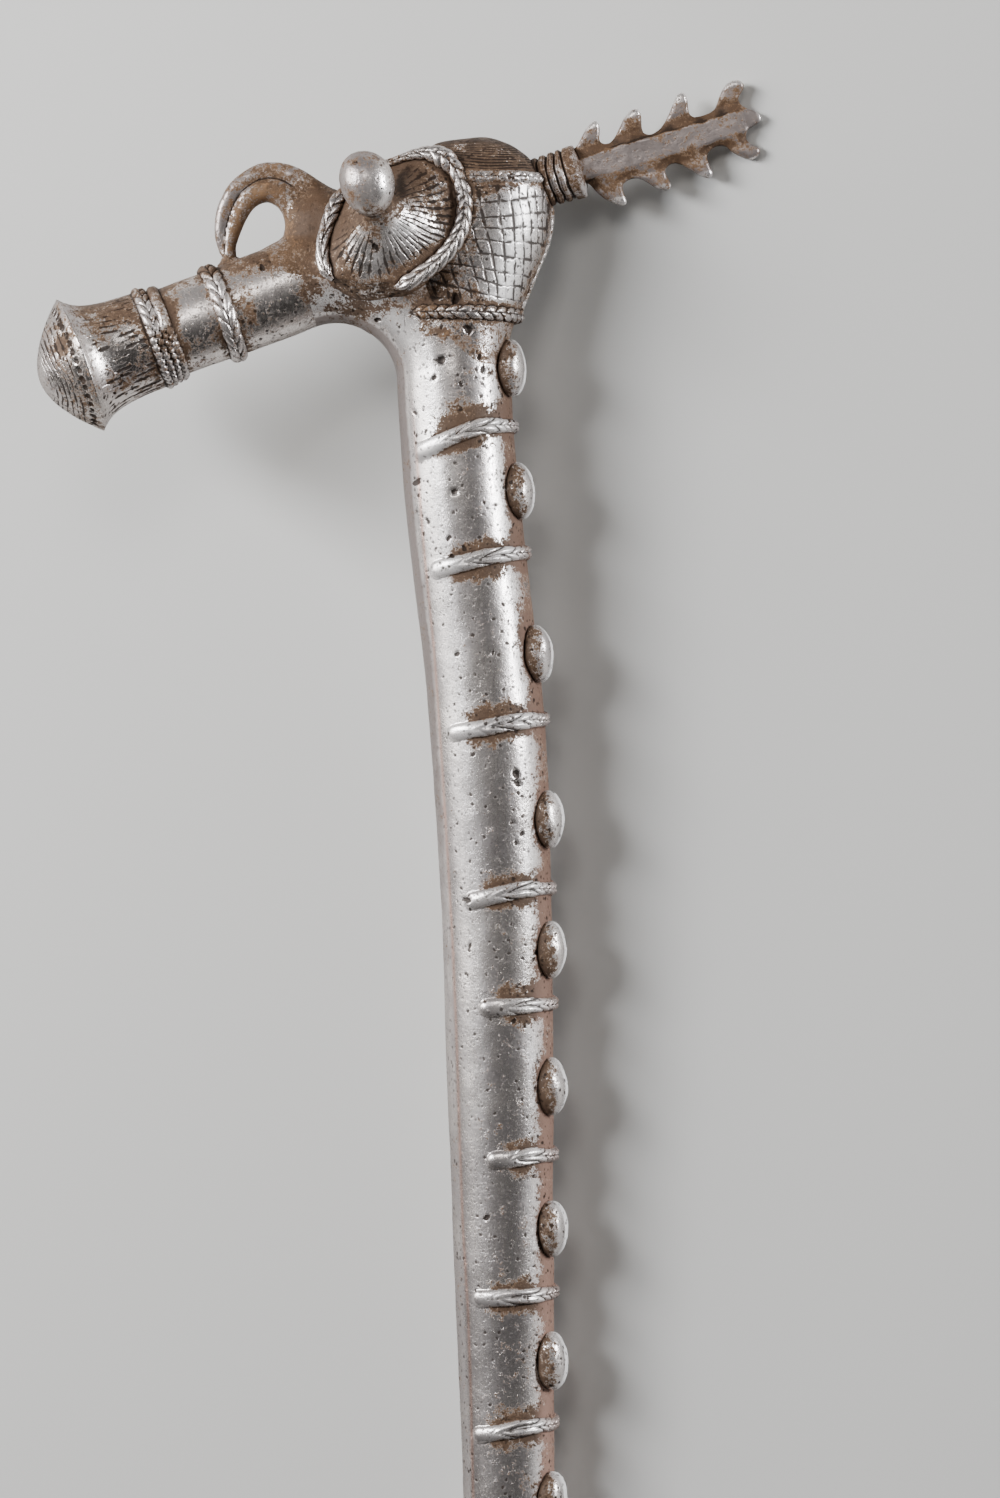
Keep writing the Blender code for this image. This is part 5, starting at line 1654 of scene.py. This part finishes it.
def floor():
    """A plain pale floor."""
    bpy.ops.mesh.primitive_plane_add(size=FLOOR_SIZE)
    made = bpy.context.object
    made.name = "floor"
    finish = Finish("pale_floor")
    finish.feed("Base Color", FLOOR_COLOUR)
    finish.feed("Roughness", 0.9)
    finish.feed("Specular IOR Level", 0.1)
    made.data.materials.append(finish.material)


def camera():
    """The photo's view: straight on to the side of the club, from its own distance."""
    made = new_object("camera", bpy.data.cameras.new("camera"))
    x, z = from_photo(*PHOTO_MIDDLE)
    stand = Matrix.Translation((x, -CAMERA_DISTANCE, z)) @ Matrix.Rotation(math.pi / 2, 4, "X")
    location, rotation, _ = (to_world() @ stand).decompose()
    made.location = location
    made.rotation_euler = rotation.to_euler()
    made.data.lens = CAMERA_LENS
    made.data.sensor_width = CAMERA_SENSOR
    made.data.clip_end = VIEW_END
    bpy.context.scene.camera = made


def soft_light(name, at, size, power, colour):
    """A soft box that faces the middle of the shown part: its place is given as the viewer sees it."""
    data = bpy.data.lights.new(name, "AREA")
    data.shape = "RECTANGLE"
    data.size, data.size_y = size
    data.energy = power
    data.color = colour
    made = new_object(name, data)
    aim = Vector(LIGHTS_AIM)
    stand = to_world() @ (aim + Vector(at))
    made.location = stand
    made.rotation_euler = (to_world() @ aim - stand).to_track_quat("-Z", "Y").to_euler()


def room_light():
    """The faint light of the room, from all round."""
    world = bpy.data.worlds.new("studio")
    world.use_nodes = True
    background = world.node_tree.nodes["Background"]
    background.inputs["Color"].default_value = ROOM_LIGHT
    background.inputs["Strength"].default_value = ROOM_STRENGTH
    bpy.context.scene.world = world


def both_sides(skin):
    """The near form and its mirror on the far side."""
    far = copy.copy(skin)
    far.name = f"{skin.name}_far"
    far.points = skin.points * vec(1, -1, 1)
    far.outward = -skin.outward
    far.marks = {mark: value.copy() for mark, value in skin.marks.items()}
    skin.name = f"{skin.name}_near"
    return [skin, far]


def main():
    """Makes the forms, joins them where they meet, marks and dresses them, and sets up the view."""
    body, line = body_skin()
    large = [body, head_skin(), *both_sides(turret_skin()), horn_cast()]
    blend_corners(large, CORNER_REACH)
    small = [base_rope_skin(large[:4]), *both_sides(ring_rope_skin()), *both_sides(eye_skin())]
    small += [wrap_skin(), *boss_skins(), blade_cast()]
    for skin in large[:3]:
        dig_pits(skin)
    mark_creases([*large, *small], CREASE_REACH)
    material = metal()
    pieces = [cast_piece(skin, material) for skin in (*split_body(body, line), *large[1:], *small)]
    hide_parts("ceremonial_club")
    floor()
    camera()
    for light in LIGHTS:
        soft_light(*light)
    room_light()


main()
